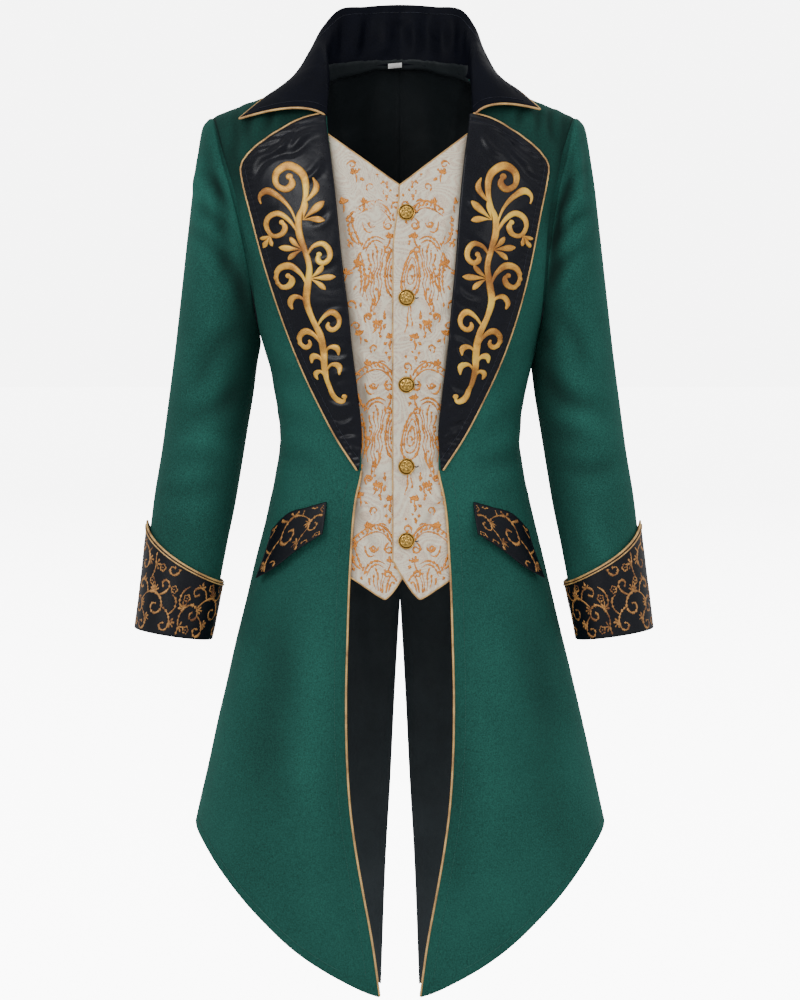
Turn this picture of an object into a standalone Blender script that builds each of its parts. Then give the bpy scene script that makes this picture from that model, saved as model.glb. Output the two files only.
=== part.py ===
"""A costume tailcoat in its worn, filled-out form, with nobody in it.

Metres, +Z up, the front faces -Y. Left and right are the wearer's, so the wearer's left is at +X.
The origin is the base of the neck, midway between the shoulders.
Every cloth piece is a wall worked out from one body form and one sleeve form.
"""

import bmesh
import bpy
import numpy as np


def table(columns, *rows):
    """A short table as one array for each named column."""
    return {name: np.array(values, float) for name, values in zip(columns.split(), zip(*rows))}


# Cloth and trim, in metres
VELVET = 0.0020
SATIN = 0.0020
COLLAR_WALL = 0.0026
BROCADE = 0.0015
LINING = 0.0010
CUFF_WALL = 0.0020
SEAM_GAP = 0.0004
LAY_GAP = 0.0009
PIPING_GAP = 0.0005
COLLAR_GAP = 0.0017
NECK_LIFT = 0.0005
ROLL_INSET = 0.0022
ROLL_OUT = 0.0005
LAPEL_CROWN = 0.0022
SIDE_TRIM = 0.00016
RIDGE_TRIM = 0.00014
PIPING_RADIUS = 0.0013
VEST_PIPING_RADIUS = 0.0009
BUTTON_RADIUS = 0.0098
BUTTON_HEIGHT = 0.0054
HALF_SEAM = 0.00018

# Levels of the body
UNDERARM = -0.290
WAIST = -0.413
BREAK_POINT = -0.444
VENT_TOP = -0.606
NOTCH = -0.034

# Shoulders and neck
SHOULDER_X = 0.2130
NECK_X = 0.083
NECK_Z = 0.012
NECK_BACK_Y = 0.070
NECK_BACK_Z = 0.031
RIDGE_Y = 0.006
SHOULDER_SLOPE = 0.28
SHOULDER_DROOP = 0.55
BODY_POWER = 0.86
YOKE_POWER = 0.62
YOKE_ROUND = 0.75
BACK_FULLNESS = 0.08

# The coat hangs a little towards the wearer's right
LEAN = 0.0075
LEAN_FROM = -0.33
LEAN_FULL = -0.10

# Half width and depths of the body at each height
BODY = table(
    "z wide front back",
    (-1.120, 0.298, 0.150, 0.176),
    (-0.867, 0.2430, 0.140, 0.160),
    (-0.720, 0.2085, 0.129, 0.146),
    (-0.625, 0.1870, 0.122, 0.135),
    (-0.555, 0.1705, 0.114, 0.121),
    (-0.484, 0.1534, 0.106, 0.103),
    (-0.440, 0.1440, 0.1035, 0.0955),
    (-0.413, 0.1413, 0.1035, 0.0940),
    (-0.385, 0.1436, 0.1065, 0.0970),
    (-0.342, 0.1505, 0.1140, 0.1050),
    (-0.290, 0.1635, 0.1190, 0.1130),
)

# Reach of the yoke from the underarm line, 0, to the shoulder, 1
YOKE = table(
    "up reach",
    (0.0, 0.1635),
    (0.1, 0.1760),
    (0.2, 0.1860),
    (0.4, 0.1990),
    (0.6, 0.2120),
    (0.8, 0.2225),
    (1.0, 0.2305),
)

# Turn of the armhole's edge on the front, and the same share from the centre back
ARMHOLE = table(
    "up turn",
    (0.00, 0.500),
    (0.04, 0.445),
    (0.10, 0.405),
    (0.20, 0.372),
    (0.40, 0.365),
    (0.60, 0.370),
    (0.80, 0.359),
    (1.00, 0.343),
)

# Distance of the front edge, and of the roll line above the break, from the centre
FRONT_EDGE = table(
    "z x",
    (-1.056, 0.0240),
    (-0.985, 0.0340),
    (-0.931, 0.0440),
    (-0.886, 0.0520),
    (-0.835, 0.0590),
    (-0.787, 0.0625),
    (-0.707, 0.0640),
    (-0.643, 0.0625),
    (-0.547, 0.0588),
    (-0.478, 0.0530),
    (-0.444, 0.0460),
    (-0.407, 0.0450),
    (-0.355, 0.0500),
    (-0.306, 0.0560),
    (-0.258, 0.0605),
    (-0.209, 0.0660),
    (-0.127, 0.0732),
    (-0.085, 0.0780),
    (-0.034, 0.0845),
    (0.012, 0.0830),
)

# Height of the hem by turn, for the fronts and for the tails
FRONT_HEM = table(
    "turn z",
    (0.000, -1.056),
    (0.022, -1.049),
    (0.063, -1.031),
    (0.120, -1.003),
    (0.193, -0.962),
    (0.300, -0.909),
    (0.370, -0.883),
    (0.444, -0.867),
    (0.500, -0.860),
)
BACK_HEM = table(
    "turn z",
    (0.500, -0.860),
    (0.556, -0.869),
    (0.630, -0.888),
    (0.700, -0.916),
    (0.807, -0.973),
    (0.880, -1.019),
    (0.937, -1.055),
    (0.980, -1.086),
    (1.000, -1.094),
)

# Distance of the tails' vent edges from the centre
VENT = table(
    "z x",
    (-1.100, 0.0245),
    (-0.917, 0.0175),
    (-0.832, 0.0125),
    (-0.735, 0.0078),
    (-0.606, 0.0006),
)

# The lapel's outer edge, from the break up to its corner, and then its top edge back to the notch
LAPEL_SIDE = table(
    "z x",
    (-0.4440, 0.0480),
    (-0.4070, 0.0720),
    (-0.3680, 0.0925),
    (-0.3230, 0.1135),
    (-0.2670, 0.1345),
    (-0.2150, 0.1500),
    (-0.1500, 0.1655),
    (-0.1060, 0.1755),
    (-0.0910, 0.1780),
)
LAPEL_TOP = table(
    "x z",
    (0.0860, -0.0335),
    (0.1080, -0.0400),
    (0.1310, -0.0520),
    (0.1500, -0.0640),
    (0.1670, -0.0780),
    (0.1780, -0.0910),
)

# The collar's sections from the centre back to the notch: how its cloth leaves the neck seam, and its edge
COLLAR = table(
    "share mid_x mid_y mid_z edge_x edge_y edge_z",
    (0.00, 0.000, 0.0760, 0.0680, 0.0000, 0.0820, 0.1020),
    (0.22, 0.039, 0.0710, 0.0670, 0.0400, 0.0790, 0.0996),
    (0.42, 0.069, 0.0520, 0.0660, 0.0750, 0.0600, 0.0930),
    (0.54, 0.081, 0.0300, 0.0740, 0.0905, 0.0400, 0.0720),
    (0.66, 0.084, 0.0060, 0.0720, 0.1020, 0.0180, 0.0450),
    (0.80, 0.086, -0.0240, 0.0480, 0.1220, -0.0070, 0.0120),
    (0.91, 0.090, -0.0490, 0.0190, 0.1480, -0.0270, -0.0080),
    (1.00, 0.105, -0.0760, -0.0120, 0.1730, -0.0430, -0.0300),
)
# How far each wing's point differs from that, by side
WING = {1: (-0.0060, 0.0, 0.0050), -1: (0.0060, 0.0, -0.0060)}

# The sleeve's outer and inner lines seen from the front, its middle and half depth
SLEEVE = table(
    "row out_x out_z in_x in_z mid_y deep",
    (0, 0.2130, -0.031, 0.1640, -0.2895, 0.006, 0.058),
    (1, 0.2187, -0.0355, 0.1630, -0.2925, 0.006, 0.060),
    (2, 0.2250, -0.0460, 0.1612, -0.2965, 0.006, 0.062),
    (3, 0.2305, -0.076, 0.1602, -0.3015, 0.007, 0.064),
    (4, 0.2375, -0.125, 0.1600, -0.3090, 0.008, 0.066),
    (5, 0.2445, -0.185, 0.1610, -0.3200, 0.008, 0.067),
    (6, 0.2515, -0.248, 0.1630, -0.3380, 0.007, 0.066),
    (7, 0.2585, -0.310, 0.1660, -0.3620, 0.005, 0.065),
    (8, 0.2660, -0.368, 0.1715, -0.3950, 0.001, 0.063),
    (9, 0.2735, -0.425, 0.1790, -0.4420, -0.005, 0.060),
    (10, 0.2816, -0.475, 0.1870, -0.4900, -0.012, 0.057),
    (11, 0.2870, -0.520, 0.1960, -0.5340, -0.018, 0.055),
    (12, 0.2940, -0.575, 0.2060, -0.5880, -0.025, 0.052),
    (13, 0.3020, -0.630, 0.2155, -0.6430, -0.031, 0.050),
)
SLEEVE_SHIFT = 0.0071
SLEEVE_CLEAR = 0.0012
HEAD_ROWS = 6
ARMHOLE_GAP = 0.0008
SLEEVE_SIDES = 20
SLEEVE_ANGLES = np.linspace(0, 2 * np.pi, SLEEVE_SIDES, endpoint=False)[None, :]
CUFF_BOTTOM = 13.03
CUFF_LOW = 1.17
CUFF_PEAK = 1.08
CUFF_LIFT = 0.0008
CUFF_FLARE = 0.0022

# The vest's hem, its V and the overlap of its closing
VEST_CENTRE = 0.003
VEST_LAP = 0.0103
VEST_V = (0.0, -0.1160)
VEST_TOP = (0.1120, -0.0330)
VEST_UNDER = 0.028
VEST_LIFT = -0.0036
VEST_UNDERLAP = 0.0028
VEST_FOOT = 0.088
LAP_BACK = 0.0015
VEST_HEM = table(
    "x z",
    (-0.0200, -0.5480),
    (-0.0103, -0.5480),
    (-0.0030, -0.5660),
    (0.0198, -0.5915),
    (0.0400, -0.5795),
    (0.0580, -0.5680),
    (0.0950, -0.5520),
)

# The buttons' heights, and how far each seat lies off the vest's smooth form
BUTTON_X = 0.0075
BUTTONS = table(
    "z lift",
    (-0.1465, 0.0004),
    (-0.2449, 0.0004),
    (-0.3455, -0.0001),
    (-0.4400, 0.0010),
    (-0.5255, 0.0006),
)

# The pocket flap's four corners, and how far its free edge stands off
FLAP_TOP = table(
    "x z",
    (0.0850, -0.4822),
    (0.1070, -0.4890),
    (0.1320, -0.4990),
    (0.1480, -0.5165),
)
FLAP_FOOT = table(
    "x z",
    (0.0868, -0.5190),
    (0.1130, -0.5375),
    (0.1400, -0.5587),
    (0.1640, -0.5705),
)
FLAP_STAND = 0.0090

LABEL_X = (-0.0140, 0.0020)
LABEL_Z = (0.0250, 0.0330)
LABEL_WALL = 0.0006

BUTTON_SIDES = 14
BUTTON = table(
    "radius height",
    (0.80, 0.00),
    (1.00, 0.22),
    (1.00, 0.46),
    (0.80, 0.58),
    (0.45, 0.90),
)

# Rows and columns of the panels' grids
COLUMNS = 9
NECK_COLUMNS = 4
BACK_TOP_POWER = 1.748
SKIRT_ROWS = 9
BODY_HEIGHTS = (BREAK_POINT, WAIST, -0.372, -0.331, UNDERARM)
YOKE_LEVELS = (0.04, 0.1, 0.2, 0.35, 0.5, 0.65, 0.8, 0.92, 1.0)


def material(name, colour, roughness, metallic=0.0):
    """A Principled material of one colour."""
    made = bpy.data.materials.new(name)
    made.use_nodes = True
    shader = made.node_tree.nodes["Principled BSDF"]
    shader.inputs["Base Color"].default_value = (*colour, 1.0)
    shader.inputs["Roughness"].default_value = roughness
    shader.inputs["Metallic"].default_value = metallic
    return made


def follow(rows, by, name, at):
    """The column `name` at `at` of the column `by`, on a smooth curve through the rows."""
    place, value = rows[by], rows[name]
    step = np.diff(place)
    rise = np.diff(value) / step
    middle = (rise[:-1] * step[1:] + rise[1:] * step[:-1]) / (step[1:] + step[:-1])
    slope = np.concatenate([rise[:1], middle, rise[-1:]])
    at = np.clip(at, place[0], place[-1])
    i = np.clip(np.searchsorted(place, at) - 1, 0, len(step) - 1)
    h = step[i]
    s = (at - place[i]) / h
    start = (1 + 2 * s) * (1 - s) ** 2 * value[i] + s * (1 - s) ** 2 * h * slope[i]
    end = s * s * (3 - 2 * s) * value[i + 1] + s * s * (s - 1) * h * slope[i + 1]
    return start + end


def ease(low, high, value):
    """0 below `low`, 1 above `high`, and a smooth rise between."""
    s = np.clip((value - low) / (high - low), 0, 1)
    return s * s * (3 - 2 * s)


def unit(vectors):
    return vectors / np.maximum(np.linalg.norm(vectors, axis=-1, keepdims=True), 1e-12)


def shoulder_line(x):
    """The height of the shoulder's ridge, which droops towards its tip."""
    out = x - NECK_X
    return NECK_Z - SHOULDER_SLOPE * out - SHOULDER_DROOP * out * np.abs(out)


def torso(level, turn, side):
    """Points of the shell's outer face.

    `turn` runs from 0 at the centre front through 0.5 at the side to 1 at the centre back. A negative
    `level` is metres below the underarm line, and a positive one the share of the way up to the shoulder.
    A section is a superellipse. Above the underarm line each point runs up a quarter ellipse to the
    shoulder or neck.
    """
    level, turn, side = np.broadcast_arrays(*(np.asarray(v, float) for v in (level, turn, side)))
    height = UNDERARM + np.minimum(level, 0)
    up = np.clip(level, 0, 1)
    sine, cosine = np.sin(np.pi * turn), np.abs(np.cos(np.pi * turn))
    power = BODY_POWER + (YOKE_POWER - BODY_POWER) * up
    back = turn > 0.5
    reach = np.where(up > 0, follow(YOKE, "up", "reach", up), follow(BODY, "z", "wide", height))
    x = reach * np.sign(sine) * np.abs(sine) ** power
    depth = np.where(back, follow(BODY, "z", "back", height), -follow(BODY, "z", "front", height))
    ridge_x = YOKE["reach"][-1] * np.abs(sine) ** YOKE_POWER
    hollow = np.clip(1 - (ridge_x / NECK_X) ** 2, 0, 1) * back
    ridge_y = RIDGE_Y + (NECK_BACK_Y - RIDGE_Y) * hollow**0.7
    neck = back & (ridge_x < NECK_X)
    ridge_z = np.where(neck, NECK_Z + (NECK_BACK_Z - NECK_Z) * hollow, shoulder_line(ridge_x))
    depth = depth * np.where(back, 1 + BACK_FULLNESS * np.sin(np.pi * up), 1.0)
    y = ridge_y + (depth * cosine**power - ridge_y) * np.cos(np.pi / 2 * up) ** YOKE_ROUND
    z = np.where(up > 0, UNDERARM + (ridge_z - UNDERARM) * np.sin(np.pi / 2 * up), height)
    lean = LEAN * x / SHOULDER_X * ease(LEAN_FROM, LEAN_FULL, z)
    return np.stack([side * x - lean, y, z], -1)


def find(x, z):
    """The level, turn and side of the front's points that are seen at x and z from the front."""
    x, z = np.broadcast_arrays(np.asarray(x, float), np.asarray(z, float))
    side = np.where(x < 0, -1.0, 1.0)
    wide = np.abs(x / (side - LEAN / SHOULDER_X * ease(LEAN_FROM, LEAN_FULL, z)))
    up = np.zeros_like(z)
    for _ in range(40):
        power = BODY_POWER + (YOKE_POWER - BODY_POWER) * up
        reach = np.where(up > 0, follow(YOKE, "up", "reach", up), follow(BODY, "z", "wide", z))
        sine = np.clip(wide / reach, 0, 1) ** (1 / power)
        ridge_z = shoulder_line(YOKE["reach"][-1] * sine**YOKE_POWER)
        up = 2 / np.pi * np.arcsin(np.clip((z - UNDERARM) / (ridge_z - UNDERARM), 0, 1))
    return np.where(up > 0, up, z - UNDERARM), np.arcsin(sine) / np.pi, side


def skin(level, turn, side, lift=0.0):
    """Points of the outer face moved out along its normal by `lift`."""
    step = 1e-4
    along = torso(level, turn + step, side) - torso(level, turn - step, side)
    upward = torso(level + step, turn, side) - torso(level - step, turn, side)
    normal = unit(np.cross(along, upward)) * np.asarray(side, float)[..., None]
    return torso(level, turn, side) + normal * np.asarray(lift, float)[..., None]


def on_front(x, z, lift=0.0):
    """Points on the front seen at x and z, moved out by `lift`."""
    return skin(*find(x, z), lift)


def edge_turn(level, side, rows, first, last):
    """The turn, between `first` and `last`, at which each level meets an edge of given distances."""
    turns = np.linspace(first, last, 240)
    points = torso(level[:, None], turns[None, :], side)
    away = np.abs(points[..., 0]) - follow(rows, "z", "x", points[..., 2])
    return np.array([np.interp(0.0, *((a, turns) if a[-1] > a[0] else (a[::-1], turns[::-1]))) for a in away])


def solid(name, points, faces, finish, smooth=True):
    """One closed body from points and faces, with its faces turned outwards."""
    mesh = bpy.data.meshes.new(name)
    mesh.from_pydata(points.tolist(), [], [[int(i) for i in face] for face in faces])
    work = bmesh.new()
    work.from_mesh(mesh)
    bmesh.ops.recalc_face_normals(work, faces=work.faces)
    work.to_mesh(mesh)
    work.free()
    mesh.materials.append(finish)
    if smooth:
        mesh.shade_smooth()
        mesh.set_sharp_from_angle(angle=0.7)
    made = bpy.data.objects.new(name, mesh)
    bpy.context.scene.collection.objects.link(made)
    return made


def cells(number):
    """Two triangles for each cell of a grid of point numbers."""
    a, b = number[:-1, :-1].ravel(), number[:-1, 1:].ravel()
    c, d = number[1:, 1:].ravel(), number[1:, :-1].ravel()
    return np.concatenate([np.stack([a, b, c], 1), np.stack([a, c, d], 1)])


def wall(name, outer, inner, finish, ring=False):
    """A cloth wall between two grids of points, open at its ends if it runs round in a ring."""
    rows, columns = outer.shape[:2]
    points = np.concatenate([outer.reshape(-1, 3), inner.reshape(-1, 3)])
    number = np.arange(rows * columns).reshape(rows, columns)
    if ring:
        number = np.concatenate([number, number[:, :1]], 1)
        borders = [number[0], number[-1]]
    else:
        borders = [np.concatenate([number[0], number[1:, -1], number[-1, -2::-1], number[-2::-1, 0]])]
    faces = [cells(number), cells(number)[:, ::-1] + rows * columns]
    faces += [cells(np.stack([border, border + rows * columns])) for border in borders]
    return solid(name, points, np.concatenate(faces), finish)


def tube(name, path, radius, finish, closed=False, sides=6):
    """A round cord along a path, its section carried along without twist."""
    ahead = np.roll(path, -1, 0) - np.roll(path, 1, 0)
    if not closed:
        ahead[0], ahead[-1] = path[1] - path[0], path[-1] - path[-2]
    ahead = unit(ahead)
    across = np.zeros_like(path)
    across[0] = unit(np.cross(ahead[0], (0.3, 0.5, 0.8)))
    for i in range(1, len(path)):
        across[i] = unit(across[i - 1] - ahead[i] * np.dot(across[i - 1], ahead[i]))
    third = np.cross(ahead, across)
    angle = np.linspace(0, 2 * np.pi, sides, endpoint=False)[None, :, None]
    rings = path[:, None] + radius * (across[:, None] * np.cos(angle) + third[:, None] * np.sin(angle))
    number = np.arange(len(path) * sides).reshape(len(path), sides)
    number = np.concatenate([number, number[:, :1]], 1)
    faces = cells(np.concatenate([number, number[:1]], 0) if closed else number).tolist()
    if closed:
        turned = np.dot(across[-1], third[0]), np.dot(across[-1], across[0])
        twist = np.arctan2(*turned) * np.arange(len(path)) / len(path)
        angle = angle - twist[:, None, None]
        rings = path[:, None] + radius * (across[:, None] * np.cos(angle) + third[:, None] * np.sin(angle))
    else:
        faces += [number[0, :-1][::-1].tolist(), number[-1, :-1].tolist()]
    return solid(name, rings.reshape(-1, 3), faces, finish)


def beside(edge, inner, distance, closed=False):
    """An edge's points moved square off the cloth, away from the points next to it, mitred at a corner."""
    after, before = np.roll(edge, -1, 0), np.roll(edge, 1, 0)
    if not closed:
        after[-1], before[0] = 2 * edge[-1] - edge[-2], 2 * edge[0] - edge[1]
    first, second = unit(edge - before), unit(after - edge)
    along = unit(first + second)
    away = edge - inner
    away = unit(away - along * (away * along).sum(-1, keepdims=True))
    square = np.sqrt(np.maximum((1 + (first * second).sum(-1, keepdims=True)) / 2, 0.3))
    return edge + away * distance / square


def front_edge(z):
    """The front panel's edge: it keeps back a little behind the lapel's roll."""
    return ROLL_INSET * ease(BREAK_POINT, BREAK_POINT + 0.03, z) * (1 - ease(-0.06, 0.0, z))


FRONT_PANEL = {"z": FRONT_EDGE["z"], "x": FRONT_EDGE["x"] + front_edge(FRONT_EDGE["z"])}


def seam_turn(level):
    """The turn at which the back's panels meet, half a seam gap from the middle."""
    height, up = UNDERARM + np.minimum(level, 0), np.clip(level, 0, 1)
    reach = np.where(up > 0, follow(YOKE, "up", "reach", up), follow(BODY, "z", "wide", height))
    power = BODY_POWER + (YOKE_POWER - BODY_POWER) * up
    return 1 - np.arcsin((HALF_SEAM / reach) ** (1 / power)) / np.pi


def panel_grid(side, is_front):
    """Levels and turns of a front or back panel, from the hem up and from its inner edge out."""
    share = np.linspace(0, 1, COLUMNS)
    low_power, top_power = (0.9, 0.9) if is_front else (0.8, BACK_TOP_POWER)
    edge_rows, hem = (FRONT_PANEL, FRONT_HEM) if is_front else (VENT, BACK_HEM)
    first, last = (0.0, 0.3) if is_front else (0.8, 1.0)

    def inner_turn(level):
        turn = edge_turn(level, side, edge_rows, first, last)
        return turn if is_front else np.where(level > VENT_TOP - UNDERARM, seam_turn(level), turn)

    spread = share**low_power
    foot = np.full(COLUMNS, -0.9)
    for _ in range(12):
        inner = inner_turn(foot - UNDERARM)
        foot = follow(hem, "turn", "z", inner + (0.5 - inner) * spread)
    fan = np.linspace(0, 1, SKIRT_ROWS, endpoint=False)[:, None]
    skirt = foot * (1 - fan) + BREAK_POINT * fan
    body = np.repeat(np.array(BODY_HEIGHTS)[:, None], COLUMNS, 1)
    level = np.concatenate([skirt, body]) - UNDERARM
    inner = inner_turn(level.ravel()).reshape(level.shape)
    turn = inner + (0.5 - inner) * spread

    yoke = np.array(YOKE_LEVELS)[:, None]
    armhole = follow(ARMHOLE, "up", "turn", yoke)
    armhole = armhole if is_front else 1 - armhole
    top = inner_turn(yoke[:, 0])[:, None]
    bend = top + (armhole - top) * share ** (low_power + (top_power - low_power) * yoke)
    level = np.concatenate([level, np.repeat(yoke, COLUMNS, 1)])
    turn = np.concatenate([turn, bend])
    turn[:, -1] -= SIDE_TRIM if is_front else -SIDE_TRIM
    level[-1] -= RIDGE_TRIM
    return level, turn


def panel(side, is_front, lift):
    """A panel's points at some lift from the shell's outer face."""
    level, turn = panel_grid(side, is_front)
    return skin(level, turn, np.full(level.shape, float(side)), np.full(level.shape, lift))


def front(side, name, velvet, gold):
    """A front, from its edge and roll line to the side seam and armhole, and the piping below the break."""
    outer, inner = panel(side, True, 0.0), panel(side, True, -VELVET)
    wall(f"front_{name}", outer, inner, velvet)
    middle = (outer + inner)[: SKIRT_ROWS + 1] / 2
    path = beside(middle[:, 0], middle[:, 1], PIPING_RADIUS + PIPING_GAP)
    tube(f"front_piping_{name}", path, PIPING_RADIUS, gold)


def back(side, name, velvet, black):
    """A back panel down to its tail, and its lining."""
    wall(f"back_{name}", panel(side, False, 0.0), panel(side, False, -VELVET), velvet)
    face = -VELVET - SEAM_GAP
    wall(f"back_lining_{name}", panel(side, False, face), panel(side, False, face - LINING), black)


def leaned(side, x, z):
    """Where a point measured at x from the middle hangs, with the coat's lean."""
    return side * x - LEAN * x / SHOULDER_X * ease(LEAN_FROM, LEAN_FULL, z)


def lapel(side, name, satin, gold):
    """A lapel turned back on its front, crowned a little, and the piping round its free edges."""
    run = np.array([0.0, 0.05, 0.12, 0.21, 0.3, 0.39, 0.48, 0.57, 0.66, 0.75, 0.83, 0.9, 0.96, 1.0])[:, None]
    across = np.array([0.0, 0.08, 0.25, 0.45, 0.65, 0.83, 1.0])[None, :]
    low, high = BREAK_POINT, LAPEL_SIDE["z"][-1]
    out_z = low + (high - low) * run
    out_x = follow(LAPEL_SIDE, "z", "x", out_z)
    in_z = low + (NOTCH - low) * run
    in_x = follow(FRONT_EDGE, "z", "x", in_z) - ROLL_OUT
    x = in_x + (out_x - in_x) * across
    z = in_z + (out_z - in_z) * across
    z = z + (follow(LAPEL_TOP, "x", "z", x[-1]) - z[-1]) * ease(0.75, 1.0, run)
    crown = LAPEL_CROWN * np.sin(np.pi * across**0.7) * ease(0.0, 0.2, run)
    x = leaned(side, x, z)
    inner, outer = on_front(x, z, LAY_GAP + crown), on_front(x, z, LAY_GAP + SATIN + crown)
    wall(f"lapel_{name}", outer, inner, satin)
    middle = (outer + inner) / 2
    path = np.concatenate([middle[:, -1], middle[-1, -2:0:-1]])
    inside = np.concatenate([middle[:1, 0], middle[1:-1, -2], middle[-2:-1, -2], middle[-2, -2:0:-1]])
    tube(f"lapel_piping_{name}", beside(path, inside, PIPING_RADIUS + PIPING_GAP), PIPING_RADIUS, gold)


def neck_line(side):
    """Points just over the panels' neck edges, from the centre back to the notch, and those next to them."""
    rear, fore = panel(side, False, NECK_LIFT), panel(side, True, NECK_LIFT)[::-1]
    edge, inside = fore[:, 0], fore[:, 1]
    high = edge[1:, 2] > NOTCH + 0.004
    height = -edge[:, 2]
    last = [[np.interp(-NOTCH, height, line[:, axis]) for axis in range(3)] for line in (edge, inside)]
    line = np.concatenate([rear[-1, :NECK_COLUMNS], edge[1:][high], last[:1]])
    return line, np.concatenate([rear[-2, :NECK_COLUMNS], inside[1:][high], last[1:]])


def collar_half(side):
    """One half of the collar's sheet: it stands at the back and rolls out into a pointed wing.

    Each section is a quadratic curve from the neck seam over a middle point to the collar's edge.
    """
    line = beside(*neck_line(side), COLLAR_GAP)
    length = np.concatenate([[0], np.cumsum(np.linalg.norm(np.diff(line, axis=0), axis=1))])
    at = length / length[-1]
    share = np.unique(np.concatenate([at, (at[1:] + at[:-1]) / 2]))
    curve = [np.stack([np.interp(share, at, line[:, axis]) for axis in range(3)], -1)]
    for part, pull in (("mid", 0.3), ("edge", 1.0)):
        xyz = np.stack([follow(COLLAR, "share", f"{part}_{axis}", share) for axis in "xyz"], -1)
        xyz += np.array(WING[side]) * pull * ease(0.7, 1.0, share)[:, None]
        hanging = leaned(side, xyz[:, 0], xyz[:, 2])
        xyz[:, 0] = hanging + (side * xyz[:, 0] - hanging) * ease(0.7, 0.4, share)
        curve.append(xyz)
    start, middle, edge = (points[:, None] for points in curve)
    q = np.linspace(0, 1, 8)[None, :, None]
    return (1 - q) ** 2 * start + 2 * q * (1 - q) * middle + q * q * edge


def collar(satin, gold):
    """The collar in one piece, and the piping round each wing."""
    left, right = collar_half(1), collar_half(-1)
    centre = (left[:1] + right[:1]) / 2
    sheet = np.concatenate([right[:0:-1], centre, left[1:]])
    normal = unit(np.cross(np.gradient(sheet, axis=0), np.gradient(sheet, axis=1)))
    wall("collar", sheet + normal * COLLAR_WALL / 2, sheet - normal * COLLAR_WALL / 2, satin)
    for name, wing in (("right", sheet), ("left", sheet[::-1])):
        path = np.concatenate([wing[0, 1:], wing[1:5, -1]])
        inside = np.concatenate([wing[1, 1:-1], wing[1:2, -2], wing[1:5, -2]])
        tube(f"collar_piping_{name}", beside(path, inside, PIPING_RADIUS + PIPING_GAP), PIPING_RADIUS, gold)


def sleeve_line(row, angle, side):
    """Points of the sleeve by row and angle, 0 at the outer line and pi at the underarm.

    A ring is an ellipse between the outer and inner lines, which keep just clear of the body.
    """
    row, angle = np.broadcast_arrays(np.asarray(row, float), np.asarray(angle, float))
    out_x, out_z, in_x, in_z, mid_y, deep = (
        follow(SLEEVE, "row", name, row) for name in ("out_x", "out_z", "in_x", "in_z", "mid_y", "deep")
    )
    in_x = np.maximum(in_x, follow(BODY, "z", "wide", in_z) + SLEEVE_CLEAR + side * SLEEVE_SHIFT)
    middle = np.stack([side * (out_x + in_x) / 2 - SLEEVE_SHIFT, mid_y, (out_z + in_z) / 2], -1)
    half = np.stack([side * (out_x - in_x) / 2, 0 * mid_y, (out_z - in_z) / 2], -1)
    depth = np.stack([0 * deep, -deep, 0 * deep], -1)
    return middle + half * np.cos(angle)[..., None] + depth * np.sin(angle)[..., None]


def armhole_loop(angle, side):
    """Points along the armhole's edge, by the sleeve's angle, moved a seam's gap outwards."""
    up = (1 + np.cos(angle)) / 2
    turn = follow(ARMHOLE, "up", "turn", up)
    turn = np.where(np.sin(angle) < 0, 1 - turn, turn)
    return torso(up, turn, side) + np.array([side * ARMHOLE_GAP, 0, 0])


def sleeve_face(row, angle, side):
    """The sleeve's outer face, which takes up the armhole's own shape over its first rows."""
    row, angle = np.broadcast_arrays(np.asarray(row, float), np.asarray(angle, float))
    rest = armhole_loop(angle, side) - sleeve_line(np.zeros_like(angle), angle, side)
    return sleeve_line(row, angle, side) + rest * (1 - ease(0, HEAD_ROWS, row))[..., None]


def sleeve_skin(row, angle, side, lift):
    """The sleeve's face moved out along its normal by `lift`."""
    step = 1e-3
    row, angle = np.broadcast_arrays(np.asarray(row, float), np.asarray(angle, float))
    along = sleeve_face(row + step, angle, side) - sleeve_face(np.maximum(row - step, 0), angle, side)
    around = sleeve_face(row, angle + step, side) - sleeve_face(row, angle - step, side)
    normal = unit(np.cross(around, along)) * side
    return sleeve_face(row, angle, side) + normal * np.asarray(lift, float)[..., None]


def sleeve(side, name, velvet):
    """A sleeve, open at the armhole and the wrist."""
    rows = np.arange(len(SLEEVE["row"]), dtype=float)[:, None]
    level = np.zeros((len(rows), SLEEVE_SIDES))
    outer, inner = (sleeve_skin(rows, SLEEVE_ANGLES, side, level + lift) for lift in (0.0, -VELVET))
    wall(f"sleeve_{name}", outer, inner, velvet, ring=True)


def cuff_skin(row, angle, side, lift):
    """The sleeve's face for the cuff, carried on in a straight line past the sleeve's end."""
    last = SLEEVE["row"][-1]
    end = sleeve_skin(np.minimum(row, last), angle, side, lift)
    before = sleeve_skin(np.minimum(row, last) - 1, angle, side, lift)
    return end + (end - before) * np.maximum(row - last, 0)[..., None]


def cuff(side, name, damask, gold):
    """A turned-back cuff, highest at the sleeve's outer line, and the piping on its upper edge."""
    top = CUFF_BOTTOM - CUFF_LOW - CUFF_PEAK * (1 - np.sin(SLEEVE_ANGLES / 2))
    share = np.linspace(0, 1, 4)[:, None]
    rows = CUFF_BOTTOM + (top - CUFF_BOTTOM) * share
    lift = CUFF_LIFT + CUFF_FLARE * share + 0 * rows
    inner, outer = (cuff_skin(rows, SLEEVE_ANGLES, side, lift + wide) for wide in (0.0, CUFF_WALL))
    wall(f"cuff_{name}", outer, inner, damask, ring=True)
    middle = (outer + inner) / 2
    path = beside(middle[-1], middle[-2], PIPING_RADIUS + PIPING_GAP, closed=True)
    tube(f"cuff_piping_{name}", path, PIPING_RADIUS, gold, closed=True)


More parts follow.
